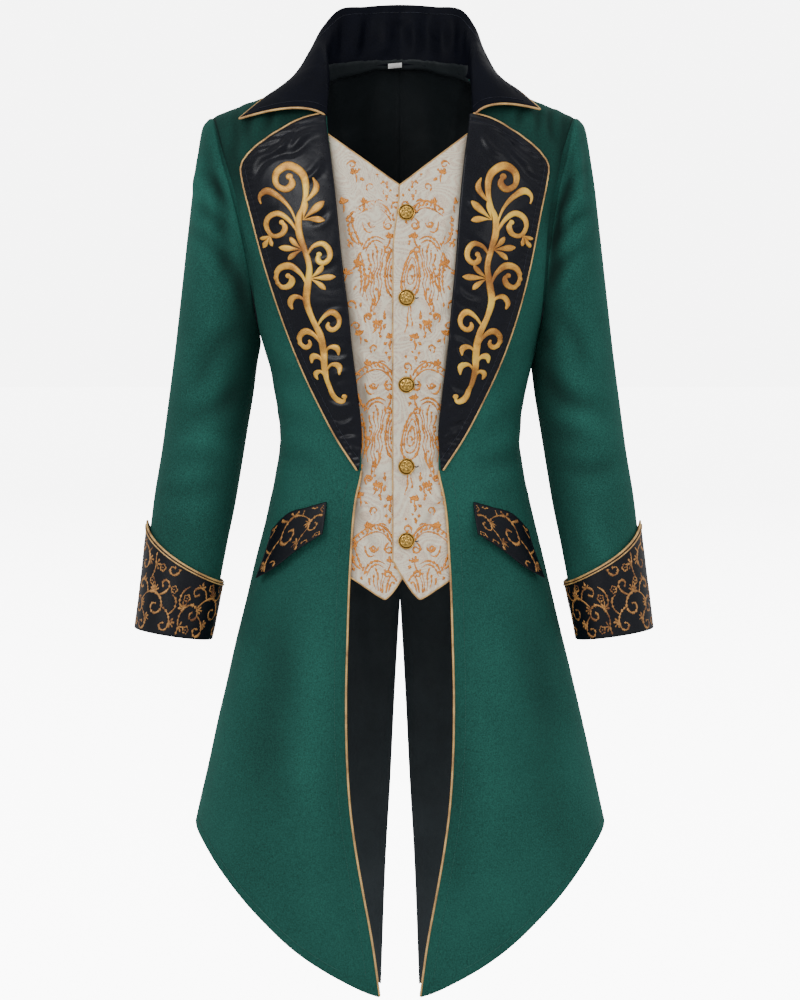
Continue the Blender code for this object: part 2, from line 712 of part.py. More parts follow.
def vest(side, name, brocade, gold):
    """One side of the sewn-in vest, from its closing edge to just under the front, and its edge cord.

    The wearer's left side laps over the right one, which lies deeper at the closing.
    """
    over = side > 0
    share = np.array([0.0, 0.12, 0.3, 0.5, 0.72, 1.0])[None, :]
    rise = np.concatenate([np.linspace(0, 0.9, 11), [0.95, 1.0]])[:, None]
    first = -VEST_LAP if over else -VEST_LAP + LAP_BACK
    top_x = VEST_V[0] + (VEST_TOP[0] - VEST_V[0]) * share
    top_z = VEST_V[1] + (VEST_TOP[1] - VEST_V[1]) * share
    foot_z = follow(VEST_HEM, "x", "z", first + (VEST_FOOT - first) * share)
    z = foot_z + (top_z - foot_z) * rise
    under_x = follow(FRONT_EDGE, "z", "x", z) + VEST_UNDER
    x = first + (under_x - first) * share
    x = x + (top_x - x) * ease(0.82, 1.0, rise)
    sunk = 0.0 if over else VEST_UNDERLAP
    lift = VEST_LIFT - sunk * (1 - ease(0.012, 0.04, x))
    seen = VEST_CENTRE * (1 - ease(0.82, 1.0, rise)) + leaned(side, x, z)
    outer, inner = on_front(seen, z, lift), on_front(seen, z, lift - BROCADE)
    wall(f"vest_{name}", outer, inner, brocade)
    middle = (outer + inner) / 2
    edge = np.concatenate([middle[-1, -2:0:-1], middle[::-1, 0], middle[0, 1:-1]])
    inside = np.concatenate(
        [middle[-2, -2:0:-1], middle[-2:-1, 1], middle[-2:0:-1, 1], middle[1:2, 1], middle[1, 1:-1]]
    )
    path = beside(edge, inside, VEST_PIPING_RADIUS + PIPING_GAP)
    tube(f"vest_piping_{name}", path, VEST_PIPING_RADIUS, gold)


def button(number, height, lift, metal):
    """A domed button with a rim, turned about the vest's normal."""
    base, ahead = (on_front(BUTTON_X, height, VEST_LIFT + lift + rise) for rise in (0.0, BUTTON_HEIGHT))
    axis = unit(ahead - base)
    across = unit(np.cross(axis, (0, 0, 1)))
    upward = np.cross(across, axis)
    angle = np.linspace(0, 2 * np.pi, BUTTON_SIDES, endpoint=False)[None, :, None]
    radius = BUTTON["radius"][:, None, None] * BUTTON_RADIUS
    rise = BUTTON["height"][:, None, None] * BUTTON_HEIGHT
    rings = base + axis * rise + radius * (across * np.cos(angle) + upward * np.sin(angle))
    points = np.concatenate([rings.reshape(-1, 3), [base + axis * BUTTON_HEIGHT]])
    order = np.arange(len(BUTTON["radius"]) * BUTTON_SIDES).reshape(-1, BUTTON_SIDES)
    faces = cells(np.concatenate([order, order[:, :1]], 1)).tolist() + [order[0].tolist()]
    faces += [[a, b, len(points) - 1] for a, b in zip(order[-1], np.roll(order[-1], -1))]
    solid(f"button_{number}", points, faces, metal)


def flap(side, name, damask):
    """A pocket flap sewn along its upper edge, its free edge standing off the front."""
    along = np.linspace(0, 1, 7)[:, None]
    down = np.linspace(0, 1, 4)[None, :]
    top_x, foot_x = (rows["x"][0] + (rows["x"][-1] - rows["x"][0]) * along for rows in (FLAP_TOP, FLAP_FOOT))
    top_z, foot_z = follow(FLAP_TOP, "x", "z", top_x), follow(FLAP_FOOT, "x", "z", foot_x)
    x = top_x + (foot_x - top_x) * down
    z = top_z + (foot_z - top_z) * down
    lift = LAY_GAP + FLAP_STAND * down**1.5 + 0 * x
    wall(f"flap_{name}", on_front(side * x, z, lift + SATIN), on_front(side * x, z, lift), damask)


def label(white):
    """A plain white tab sewn over the inside of the back's neck seam."""
    x = np.linspace(*LABEL_X, 3)[None, :]
    z = np.array(LABEL_Z)[:, None]
    line = neck_line(1)[0][:NECK_COLUMNS]
    face = np.interp(np.abs(x), line[:, 0], line[:, 1]) - COLLAR_WALL - 2 * SEAM_GAP
    outer, inner = (np.stack(np.broadcast_arrays(x, y, z), -1) for y in (face - LABEL_WALL, face))
    wall("neck_label", outer, inner, white)


def main():
    for old in list(bpy.data.objects):
        bpy.data.objects.remove(old, do_unlink=True)
    velvet = material("green_velvet", (0.012, 0.105, 0.075), 0.85)
    satin = material("black_satin", (0.008, 0.008, 0.010), 0.35)
    black = material("black_lining", (0.010, 0.010, 0.012), 0.45)
    brocade = material("silver_brocade", (0.52, 0.47, 0.40), 0.5)
    damask = material("black_gold_damask", (0.03, 0.02, 0.012), 0.5)
    gold = material("gold_cord", (0.42, 0.25, 0.09), 0.45)
    metal = material("gold_metal", (0.62, 0.42, 0.14), 0.3, 1.0)
    white = material("white_tab", (0.8, 0.8, 0.78), 0.7)
    for side, name in ((1, "left"), (-1, "right")):
        front(side, name, velvet, gold)
        back(side, name, velvet, black)
        sleeve(side, name, velvet)
        cuff(side, name, damask, gold)
        lapel(side, name, satin, gold)
        vest(side, name, brocade, gold)
        flap(side, name, damask)
    collar(satin, gold)
    for number, (height, lift) in enumerate(zip(BUTTONS["z"], BUTTONS["lift"]), 1):
        button(number, height, lift, metal)
    label(white)


main()
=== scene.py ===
"""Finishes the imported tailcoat: velvet, satin, brocade, damask, cords, embroidery, stitches and buttons.

Metres, +Z up, the front faces -Y. Left and right are the wearer's, so the wearer's left is at +X.
Each piece is a surface worked out on a grid from the coat's own form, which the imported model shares.
"""

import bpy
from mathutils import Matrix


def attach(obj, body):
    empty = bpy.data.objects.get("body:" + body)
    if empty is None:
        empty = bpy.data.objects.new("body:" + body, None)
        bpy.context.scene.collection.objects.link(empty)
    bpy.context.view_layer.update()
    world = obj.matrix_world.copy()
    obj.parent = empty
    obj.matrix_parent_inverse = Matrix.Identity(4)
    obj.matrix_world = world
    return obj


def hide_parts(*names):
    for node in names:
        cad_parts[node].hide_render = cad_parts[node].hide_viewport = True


bl_info = {
    "name": "Tailcoat finish",
    "version": (1, 0, 0),
    "blender": (4, 5, 0),
    "location": "3D View > Sidebar > Tailcoat",
    "description": "Makes the cloth, trim and metal pieces of a velvet tailcoat",
    "category": "Object",
}

import bpy
import mathutils
import numpy as np

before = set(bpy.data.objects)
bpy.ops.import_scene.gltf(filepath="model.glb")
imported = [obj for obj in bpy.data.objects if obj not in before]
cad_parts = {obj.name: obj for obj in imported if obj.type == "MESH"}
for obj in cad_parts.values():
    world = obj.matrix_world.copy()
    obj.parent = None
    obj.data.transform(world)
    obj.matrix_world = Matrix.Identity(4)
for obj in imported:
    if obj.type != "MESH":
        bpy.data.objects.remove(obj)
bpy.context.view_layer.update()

join = np.concatenate


def numbers(text):
    """A text table's rows, parted by commas, as one array."""
    return np.array([row.split() for row in text.split(",")], float)


def millimetres(text):
    """A text table in millimetres, turned to metres."""
    return numbers(text) / 1000


def both(left, right):
    """A text table in millimetres for each side."""
    return {1: millimetres(left), -1: millimetres(right)}


def table(columns, text):
    """A text table in metres as one array for each named column."""
    return dict(zip(columns.split(), numbers(text).T))


def shares(count):
    """Even shares from 0 to 1."""
    return np.linspace(0, 1, count)


def circle(count):
    """Even angles of one whole turn."""
    return np.linspace(0, 2 * np.pi, count, endpoint=False)


def alike(*values):
    """Numbers and arrays brought to one shape."""
    return np.broadcast_arrays(*(np.asarray(value, float) for value in values))


# Cloth and trim, in metres
VELVET = 0.002
SATIN = 0.002
COLLAR_WALL = 0.0026
BROCADE = 0.0015
LINING = 0.001
CUFF_WALL = 0.002
SEAM_GAP = 0.0004
LAY_GAP = 0.0009
COLLAR_GAP = 0.0004
NECK_LIFT = 0.0005
ROLL_INSET = 0.0022
ROLL_OUT = 0.0005
ROLL_FULL = -0.414
LAPEL_CROWN = 0.0022
SIDE_TRIM = 0.00016
RIDGE_TRIM = 0.00014
BUTTON_RADIUS = 0.0098
BUTTON_HEIGHT = 0.0054
HALF_SEAM = 0.00018

# Levels of the body
UNDERARM = -0.29
WAIST = -0.413
BREAK_POINT = -0.444
VENT_TOP = -0.606
NOTCH = -0.034

# Shoulders and neck
SHOULDER_X = 0.213
NECK_X = 0.083
NECK_Z = 0.012
NECK_BACK_Y = 0.07
NECK_BACK_Z = 0.031
RIDGE_Y = 0.006
SHOULDER_SLOPE = 0.28
SHOULDER_DROOP = 0.55
BODY_POWER = 0.86
YOKE_POWER = 0.62
YOKE_ROUND = 0.75
BACK_FULLNESS = 0.08

# The coat hangs a little towards the wearer's right
LEAN = 0.0075
LEAN_FROM = -0.33
LEAN_FULL = -0.1

# Half width and depths of the body at each height
BODY = table("z wide front back", """
-1.12 .298 .15 .176, -.867 .243 .14 .16, -.72 .2085 .129 .146, -.625 .187 .122 .135,
-.555 .1705 .114 .121, -.484 .1534 .106 .103, -.44 .144 .1035 .0955, -.413 .1413 .1035 .094,
-.385 .1436 .1065 .097, -.342 .1505 .114 .105, -.29 .1635 .119 .113
""")

# Reach of the yoke from the underarm line, 0, to the shoulder, 1
YOKE = table("up reach", """
0 .1635, .1 .176, .2 .186, .4 .199, .6 .212, .8 .2225, 1 .2305
""")

# Turn of the armhole's edge on the front, and the same share from the centre back
ARMHOLE = table("up turn", """
0 .5, .04 .445, .1 .405, .2 .372, .4 .365, .6 .37, .8 .359, 1 .343
""")

# Distance of the front edge, and of the roll line above the break, from the centre
FRONT_EDGE = table("z x", """
-1.056 .024, -.985 .034, -.931 .044, -.886 .052, -.835 .059, -.787 .0625, -.707 .064, -.643 .0625,
-.547 .0588, -.478 .053, -.444 .046, -.407 .045, -.355 .05, -.306 .056, -.258 .0605, -.209 .066,
-.127 .0732, -.085 .078, -.034 .0845, .012 .083
""")

# Height of the hem by turn, for the fronts and for the tails
FRONT_HEM = table("turn z", """
0 -1.056, .022 -1.049, .063 -1.031, .12 -1.003, .193 -.962, .3 -.909, .37 -.883, .444 -.867,
.5 -.86
""")
BACK_HEM = table("turn z", """
.5 -.86, .556 -.869, .63 -.888, .7 -.916, .807 -.973, .88 -1.019, .937 -1.055, .98 -1.086, 1 -1.094
""")

# Distance of the tails' vent edges from the centre
VENT = table("z x", """
-1.1 .0245, -.917 .0175, -.832 .0125, -.735 .0078, -.606 .0006
""")

# The lapel's outer edge, from the break up to its corner, and then its top edge back to the notch
LAPEL_SIDE = table("z x", """
-.444 .048, -.407 .072, -.368 .0925, -.323 .1135, -.267 .1345, -.215 .15, -.15 .1655, -.106 .1755,
-.1001 .17646, -.0958 .1767, -.09154 .17601
""")
LAPEL_TOP = table("x z", """
.086 -.0335, .108 -.04, .131 -.052, .15 -.064, .167 -.078, .17198 -.08391, .17439 -.08746,
.17601 -.09154
""")

# The collar's sections from the centre back to the notch: how its cloth leaves the neck seam, and its edge
COLLAR = table("share mid_x mid_y mid_z edge_x edge_y edge_z", """
0 0 .076 .068 0 .082 .102, .08 .0142 .0754 .0679 .0146 .0816 .1017, .22 .039 .071 .067 .04 .079 .0996,
.42 .069 .052 .066 .075 .06 .093, .54 .081 .03 .074 .0905 .04 .072, .66 .084 .006 .072 .102 .018 .045,
.8 .086 -.024 .048 .122 -.007 .012, .91 .09 -.049 .019 .148 -.027 -.008,
1 .105 -.076 -.012 .173 -.043 -.03
""")
# How far each wing's point differs from that, by side
WING = {1: (-0.006, 0, 0.005), -1: (0.006, 0, -0.006)}

# The sleeve's outer and inner lines seen from the front, its middle and half depth
SLEEVE = table("row out_x out_z in_x in_z mid_y deep", """
0 .213 -.031 .164 -.2895 .006 .058, 1 .2187 -.0355 .163 -.2925 .006 .06,
2 .225 -.046 .1612 -.2965 .006 .062, 3 .2305 -.076 .1602 -.3015 .007 .064,
4 .2375 -.125 .16 -.309 .008 .066, 5 .2445 -.185 .161 -.32 .008 .067,
6 .2515 -.248 .163 -.338 .007 .066, 7 .2585 -.31 .166 -.362 .005 .065,
8 .266 -.368 .1715 -.395 .001 .063, 9 .2735 -.425 .179 -.442 -.005 .06,
10 .2816 -.475 .187 -.49 -.012 .057, 11 .287 -.52 .196 -.534 -.018 .055,
12 .294 -.575 .206 -.588 -.025 .052, 13 .302 -.63 .2155 -.643 -.031 .05
""")
SLEEVE_SHIFT = 0.0071
SLEEVE_CLEAR = 0.0012
HEAD_ROWS = 6
ARMHOLE_GAP = 0.0008
CUFF_BOTTOM = 13.03
CUFF_LOW = 1.17
CUFF_PEAK = 1.08
CUFF_LIFT = 0.0008
CUFF_FLARE = 0.0022

# The vest's hem, its V and the overlap of its closing
VEST_CENTRE = 0.003
VEST_LAP = 0.0103
VEST_V = (0, -0.116)
VEST_TOP = (0.112, -0.033)
VEST_UNDER = 0.028
VEST_LIFT = -0.0036
VEST_UNDERLAP = 0.0028
VEST_FOOT = 0.088
LAP_BACK = 0.0015
VEST_HEM = table("x z", """
-.02 -.548, -.0103 -.548, -.003 -.5605, .0165 -.5882, .0198 -.5912, .0238 -.5895, .04 -.5795,
.058 -.568, .095 -.552
""")

# The buttons' heights, and how far each seat lies off the vest's smooth form
BUTTON_X = 0.0075
BUTTONS = table("z lift", """
-.1465 .0004, -.2449 .0004, -.3455 -.0001, -.44 .001, -.5255 .0006
""")

# The pocket flap's four corners, and how far its free edge stands off
FLAP_TOP = table("x z", """
.085 -.4822, .107 -.489, .132 -.499, .148 -.5165
""")
FLAP_FOOT = table("x z", """
.0868 -.519, .113 -.5375, .1385 -.5592, .159 -.5735
""")
FLAP_STAND = 0.009

LABEL_X = (-0.014, 0.002)
LABEL_Z = (0.027, 0.0325)
LABEL_WALL = 0.0006

# A panel's grid: its columns, its rows below the break, the heights up to the underarm, the yoke's levels
NECK_COLUMNS = 4
BACK_TOP_POWER = 1.748
COARSE_YOKE = (0.04, 0.1, 0.2, 0.35, 0.5, 0.65, 0.8, 0.92, 1)
COARSE = (9, 9, (BREAK_POINT, WAIST, -0.372, -0.331, UNDERARM), COARSE_YOKE)
FINE = (72, 128, np.linspace(BREAK_POINT, UNDERARM, 36), shares(73)[1:])


def follow(rows, name, at):
    """The column `name` where the table's first column is `at`, on a smooth curve through the rows."""
    place, value = next(iter(rows.values())), rows[name]
    step = np.diff(place)
    rise = np.diff(value) / step
    middle = (rise[:-1] * step[1:] + rise[1:] * step[:-1]) / (step[1:] + step[:-1])
    slope = join([rise[:1], middle, rise[-1:]])
    at = np.clip(at, place[0], place[-1])
    i = np.clip(np.searchsorted(place, at) - 1, 0, len(step) - 1)
    h = step[i]
    s = (at - place[i]) / h
    start = (1 + 2 * s) * (1 - s) ** 2 * value[i] + s * (1 - s) ** 2 * h * slope[i]
    end = s * s * (3 - 2 * s) * value[i + 1] + s * s * (s - 1) * h * slope[i + 1]
    return start + end


def ease(low, high, value):
    """0 below `low`, 1 above `high`, and a smooth rise between."""
    s = np.clip((value - low) / (high - low), 0, 1)
    return s * s * (3 - 2 * s)


def bell(value, middle, wide):
    """1 at the middle, falling off on both sides as a Gauss curve."""
    return np.exp(-(((value - middle) / wide) ** 2))


def unit(vectors):
    return vectors / np.maximum(np.linalg.norm(vectors, axis=-1, keepdims=True), 1e-12)


def shoulder_line(x):
    """The height of the shoulder's ridge, which droops towards its tip."""
    out = x - NECK_X
    return NECK_Z - SHOULDER_SLOPE * out - SHOULDER_DROOP * out * np.abs(out)


def run_length(path):
    """The length along a path at each of its points."""
    return join([[0], np.cumsum(np.linalg.norm(np.diff(path, axis=0), axis=1))])


def leaned(side, x, z):
    """Where a point measured at x from the middle hangs, with the coat's lean."""
    return side * x - LEAN * x / SHOULDER_X * ease(LEAN_FROM, LEAN_FULL, z)


def section(height, up):
    """The section's half width and power at a height below the yoke, or at a share of the way up it."""
    reach = np.where(up > 0, follow(YOKE, "reach", up), follow(BODY, "wide", height))
    return reach, BODY_POWER + (YOKE_POWER - BODY_POWER) * up


def torso(level, turn, side):
    """Points of the shell's outer face.

    `turn` runs from 0 at the centre front through 0.5 at the side to 1 at the centre back. A negative
    `level` is metres below the underarm line, and a positive one the share of the way up to the shoulder.
    A section is a superellipse. Above the underarm line each point runs up a quarter ellipse to the
    shoulder or neck.
    """
    level, turn, side = alike(level, turn, side)
    height, up = UNDERARM + np.minimum(level, 0), np.clip(level, 0, 1)
    reach, power = section(height, up)
    sine, cosine = np.sin(np.pi * turn), np.abs(np.cos(np.pi * turn))
    back = turn > 0.5
    x = reach * np.sign(sine) * np.abs(sine) ** power
    depth = np.where(back, follow(BODY, "back", height), -follow(BODY, "front", height))
    depth = depth * np.where(back, 1 + BACK_FULLNESS * np.sin(np.pi * up), 1)
    ridge_x = YOKE["reach"][-1] * np.abs(sine) ** YOKE_POWER
    hollow = np.clip(1 - (ridge_x / NECK_X) ** 2, 0, 1) * back
    ridge_y = RIDGE_Y + (NECK_BACK_Y - RIDGE_Y) * hollow**0.7
    neck = NECK_Z + (NECK_BACK_Z - NECK_Z) * hollow
    ridge_z = np.where(back & (ridge_x < NECK_X), neck, shoulder_line(ridge_x))
    y = ridge_y + (depth * cosine**power - ridge_y) * np.cos(np.pi / 2 * up) ** YOKE_ROUND
    z = np.where(up > 0, UNDERARM + (ridge_z - UNDERARM) * np.sin(np.pi / 2 * up), height)
    return np.stack([leaned(side, x, z), y, z], -1)


def find(x, z):
    """The level, turn and side of the front's points that are seen at x and z from the front."""
    x, z = alike(x, z)
    side = np.where(x < 0, -1, 1)
    wide = np.abs(x / leaned(side, 1, z))
    up = np.zeros_like(z)
    for _ in range(40):
        reach, power = section(z, up)
        sine = np.clip(wide / reach, 0, 1) ** (1 / power)
        ridge_z = shoulder_line(YOKE["reach"][-1] * sine**YOKE_POWER)
        up = 2 / np.pi * np.arcsin(np.clip((z - UNDERARM) / (ridge_z - UNDERARM), 0, 1))
    return np.where(up > 0, up, z - UNDERARM), np.arcsin(sine) / np.pi, side


def skin(level, turn, side, lift=0):
    """Points of the outer face moved out along its normal by `lift`."""
    step = 1e-4
    along = torso(level, turn + step, side) - torso(level, turn - step, side)
    upward = torso(level + step, turn, side) - torso(level - step, turn, side)
    normal = unit(np.cross(along, upward)) * np.asarray(side, float)[..., None]
    return torso(level, turn, side) + normal * np.asarray(lift, float)[..., None]


def on_front(x, z, lift=0):
    """Points on the front seen at x and z, moved out by `lift`."""
    return skin(*find(x, z), lift)


def edge_turn(level, side, rows, first, last):
    """The turn, between `first` and `last`, at which each level meets an edge of given distances."""
    turns = np.linspace(first, last, 240)
    points = torso(level[:, None], turns[None, :], side)
    away = np.abs(points[..., 0]) - follow(rows, "x", points[..., 2])
    return np.array([np.interp(0, *((a, turns) if a[-1] > a[0] else (a[::-1], turns[::-1]))) for a in away])


def beside(edge, inner, distance, closed=False):
    """An edge's points moved square off the cloth, away from the points next to it, mitred at a corner."""
    after, before = np.roll(edge, -1, 0), np.roll(edge, 1, 0)
    if not closed:
        after[-1], before[0] = 2 * edge[-1] - edge[-2], 2 * edge[0] - edge[1]
    first, second = unit(edge - before), unit(after - edge)
    along = unit(first + second)
    away = edge - inner
    away = unit(away - along * (away * along).sum(-1, keepdims=True))
    square = np.sqrt(np.maximum((1 + (first * second).sum(-1, keepdims=True)) / 2, 0.3))
    return edge + away * distance / square


# The front panel's edge, which keeps back a little behind the lapel's roll
HELD_BACK = ease(BREAK_POINT, ROLL_FULL, FRONT_EDGE["z"]) * (1 - ease(-0.06, 0, FRONT_EDGE["z"]))
FRONT_PANEL = {"z": FRONT_EDGE["z"], "x": FRONT_EDGE["x"] + ROLL_INSET * HELD_BACK}


def seam_turn(level):
    """The turn at which the back's panels meet, half a seam gap from the middle."""
    reach, power = section(UNDERARM + np.minimum(level, 0), np.clip(level, 0, 1))
    return 1 - np.arcsin((HALF_SEAM / reach) ** (1 / power)) / np.pi


def panel_grid(side, is_front, rows=COARSE):
    """Levels and turns of a front or back panel, from the hem up and from its inner edge out.

    Each row's turns run from the inner edge to the side seam or armhole as a power of an even share.
    """
    columns, skirt_rows, body_heights, yoke_levels = rows
    share = shares(columns)
    low_power, top_power = (0.9, 0.9) if is_front else (0.8, BACK_TOP_POWER)
    edge_rows, hem = (FRONT_PANEL, FRONT_HEM) if is_front else (VENT, BACK_HEM)
    first, last = (0, 0.3) if is_front else (0.8, 1)

    levels = join([np.linspace(-0.85, 0, 500), shares(200)[1:]])
    turns = edge_turn(levels, side, edge_rows, first, last)
    if not is_front:
        turns = np.where(levels > VENT_TOP - UNDERARM, seam_turn(levels), turns)

    def inner_turn(level):
        return np.interp(level, levels, turns)

    spread = share**low_power
    foot = np.full(columns, -0.9)
    for _ in range(12):
        inner = inner_turn(foot - UNDERARM)
        foot = follow(hem, "z", inner + (0.5 - inner) * spread)
    fan = np.linspace(0, 1, skirt_rows, endpoint=False)[:, None]
    skirt = foot * (1 - fan) + BREAK_POINT * fan
    body = np.repeat(np.array(body_heights)[:, None], columns, 1)
    level = join([skirt, body]) - UNDERARM
    inner = inner_turn(level)
    turn = inner + (0.5 - inner) * spread

    yoke = np.array(yoke_levels)[:, None]
    armhole = follow(ARMHOLE, "turn", yoke)
    armhole = armhole if is_front else 1 - armhole
    top = inner_turn(yoke[:, 0])[:, None]
    bend = top + (armhole - top) * share ** (low_power + (top_power - low_power) * yoke)
    level = join([level, np.repeat(yoke, columns, 1)])
    turn = join([turn, bend])
    turn[:, -1] -= SIDE_TRIM if is_front else -SIDE_TRIM
    level[-1] -= RIDGE_TRIM
    return level, turn


def neck_line(side):
    """Points just over the panels' neck edges, from the centre back to the notch, and those next to them."""
    rear, fore = (skin(*panel_grid(side, is_front), side, NECK_LIFT) for is_front in (False, True))
    edge, inside = fore[::-1, 0], fore[::-1, 1]
    high = edge[1:, 2] > NOTCH + 0.004
    last = [[np.interp(-NOTCH, -edge[:, 2], line[:, axis]) for axis in range(3)] for line in (edge, inside)]
    line = join([rear[-1, :NECK_COLUMNS], edge[1:][high], last[:1]])
    return line, join([rear[-2, :NECK_COLUMNS], inside[1:][high], last[1:]])


def collar_half(side, count, steps):
    """One half of the collar's sheet: it stands at the back and rolls out into a pointed wing.

    Each of `count` sections is a quadratic curve in `steps` points from the neck seam over a middle
    point to the collar's edge.
    """
    line = beside(*neck_line(side), COLLAR_GAP)
    length = run_length(line)
    at = length / length[-1]
    share = shares(count)
    seam = {"at": at, **{axis: line[:, i] for i, axis in enumerate("xyz")}}
    curve = [np.stack([follow(seam, axis, share) for axis in "xyz"], -1)]
    for part, pull in (("mid", 0.3), ("edge", 1)):
        xyz = np.stack([follow(COLLAR, f"{part}_{axis}", share) for axis in "xyz"], -1)
        xyz += np.array(WING[side]) * pull * ease(0.7, 1, share)[:, None]
        hanging = leaned(side, xyz[:, 0], xyz[:, 2])
        xyz[:, 0] = hanging + (side * xyz[:, 0] - hanging) * ease(0.7, 0.4, share)
        curve.append(xyz)
    start, middle, edge = (points[:, None] for points in curve)
    q = shares(steps)[None, :, None]
    return (1 - q) ** 2 * start + 2 * q * (1 - q) * middle + q * q * edge


def sleeve_line(row, angle, side):
    """Points of the sleeve by row and angle, 0 at the outer line and pi at the underarm.

    A ring is an ellipse between the outer and inner lines, which keep just clear of the body.
    """
    row, angle = alike(row, angle)
    out_x, out_z, in_x, in_z, mid_y, deep = (
        follow(SLEEVE, name, row) for name in "out_x out_z in_x in_z mid_y deep".split()
    )
    in_x = np.maximum(in_x, follow(BODY, "wide", in_z) + SLEEVE_CLEAR + side * SLEEVE_SHIFT)
    middle = np.stack([side * (out_x + in_x) / 2 - SLEEVE_SHIFT, mid_y, (out_z + in_z) / 2], -1)
    half = np.stack([side * (out_x - in_x) / 2, 0 * mid_y, (out_z - in_z) / 2], -1)
    depth = np.stack([0 * deep, -deep, 0 * deep], -1)
    return middle + half * np.cos(angle)[..., None] + depth * np.sin(angle)[..., None]


def armhole_loop(angle, side):
    """Points along the armhole's edge, by the sleeve's angle, moved a seam's gap outwards."""
    up = (1 + np.cos(angle)) / 2
    turn = follow(ARMHOLE, "turn", up)
    turn = np.where(np.sin(angle) < 0, 1 - turn, turn)
    return torso(up, turn, side) + np.array([side * ARMHOLE_GAP, 0, 0])


def sleeve_face(row, angle, side):
    """The sleeve's outer face, which takes up the armhole's own shape over its first rows."""
    row, angle = alike(row, angle)
    rest = armhole_loop(angle, side) - sleeve_line(np.zeros_like(angle), angle, side)
    return sleeve_line(row, angle, side) + rest * (1 - ease(0, HEAD_ROWS, row))[..., None]


def sleeve_skin(row, angle, side, lift):
    """The sleeve's face moved out along its normal by `lift`."""
    step = 1e-3
    row, angle = alike(row, angle)
    along = sleeve_face(row + step, angle, side) - sleeve_face(np.maximum(row - step, 0), angle, side)
    around = sleeve_face(row, angle + step, side) - sleeve_face(row, angle - step, side)
    normal = unit(np.cross(around, along)) * side
    return sleeve_face(row, angle, side) + normal * np.asarray(lift, float)[..., None]


def cuff_skin(row, angle, side, lift):
    """The sleeve's face for the cuff, carried on in a straight line past the sleeve's end."""
    last = SLEEVE["row"][-1]
    end = sleeve_skin(np.minimum(row, last), angle, side, lift)
    before = sleeve_skin(np.minimum(row, last) - 1, angle, side, lift)
    return end + (end - before) * np.maximum(row - last, 0)[..., None]


# Sizes of the finish, in metres
CORD_GAP = 0.00015
TURN_UP = 0.0042
TURN_UP_CLEAR = 0.0005
ALLOWANCE = 0.03
ALLOWANCE_DEEP = 0.0034
ALLOWANCE_WALL = 0.0008
CORD_STEP = 0.0007
CORD_SIDES = 10
CORD_PLIES = 3
CORD_LOBE = 0.13
STROKE_STEP = 0.0011
FULL_HEIGHT_WIDTH = 0.0014
STITCH_SIDES = 6
# Painted shade on the velvet: its even amount, its change with a fold's height, the extra over the shoulders,
# the painted lightening at the waist, and the sleeves' stronger fold shade
SHADE_EVEN = 0.25
SHADE_GAIN = 85
SHOULDER_SHADE = 0.47
WAIST_LIGHT = 0.16
SLEEVE_SHADE_GAIN = 1.4
SEAM_ROUND = 0.006
SEAM_DIP = 0.0014
FRONT_TOPSTITCH = 0.0125
HEM_TOPSTITCH = 0.0105
STITCH_GROOVE = 0.0003
STITCH_GROOVE_WIDE = 0.0016
PUCKER_PITCH = 0.0072
PUCKER_HEIGHT = 0.0008
PUCKER_SLANT = 190
PUCKER_INSET = 0.006
PUCKER_WIDE = 0.0045
LAPEL_FOLD_SHARE = 1.9
VEST_FOLD_SHARE = 1.6
# Painted shadow on the vest: its strength in the folds' hollows, and its reach from the lapel's edge
VEST_FOLD_SHADE = 300
VEST_SHADE_REACH = 0.0065
VEST_TURN = 0.82
VEST_TALL = 0.42
VEST_MARGIN = 0.004
LINING_GATHER = 0.0012
UNDERARM_REST = -0.298
UNDERARM_SWELL = 0.0034
ROLL_RADIUS = 0.0026
ROLL_ANGLE = 2.1
ROLL_KEEP = 0.0016
COLLAR_COUNT = 110
COLLAR_STEPS = 56
COLLAR_FOLD_SHARE = 1.5
LABEL_CLEAR = 0.0012
BUTTON_TURNS = 96
WING_CORD_SHARE = 0.22
CUFF_ROUND = 0.0585
CUFF_WAVE = 0.0005
FLAP_WAVE = 0.0004
CUFF_ROW_HEIGHT = 0.056
VINE_LONG = 0.0919
VINE_HIGH = 0.068
FLAP_WIDE = 0.08
FLAP_HIGH = 0.048
VEST_REPEAT = 0.187
FLECK_COUNT = 54
VEST_PATTERN_TOP = -0.128

# The stage
FLOOR_Z = -1.25
FLOOR_REACH = 60
FLOOR_GLOW = 9.6
FLOOR_FAR = 0.68
WORLD_SEEN = 6.6
CAMERA_AWAY = 5
CAMERA_RISE = 3
CAMERA_AIM = -0.484
CAMERA_LENS = 152.5
WORLD_LIGHT = 0.76
# Name, place, aim, size and power of each light; the last only shows as a sheen on satin, thread and metal
LIGHTS = (
    ("key_light", (-2.2, -3.6, 2), (0, 0, -0.45), 1.4, 44),
    ("fill_light", (2.8, -3.2, 0.9), (0, 0, -0.5), 1.8, 20),
    ("top_light", (0, -0.4, 2.6), (0, 0, -0.3), 1.4, 8),
    ("back_light", (1.8, 3.4, 1.8), (0, 0, -0.4), 1.8, 12),
    ("sheen_light", (-1.7, -2.6, 0.9), (0, 0, -0.3), 1.6, 26),
)


# Meshes


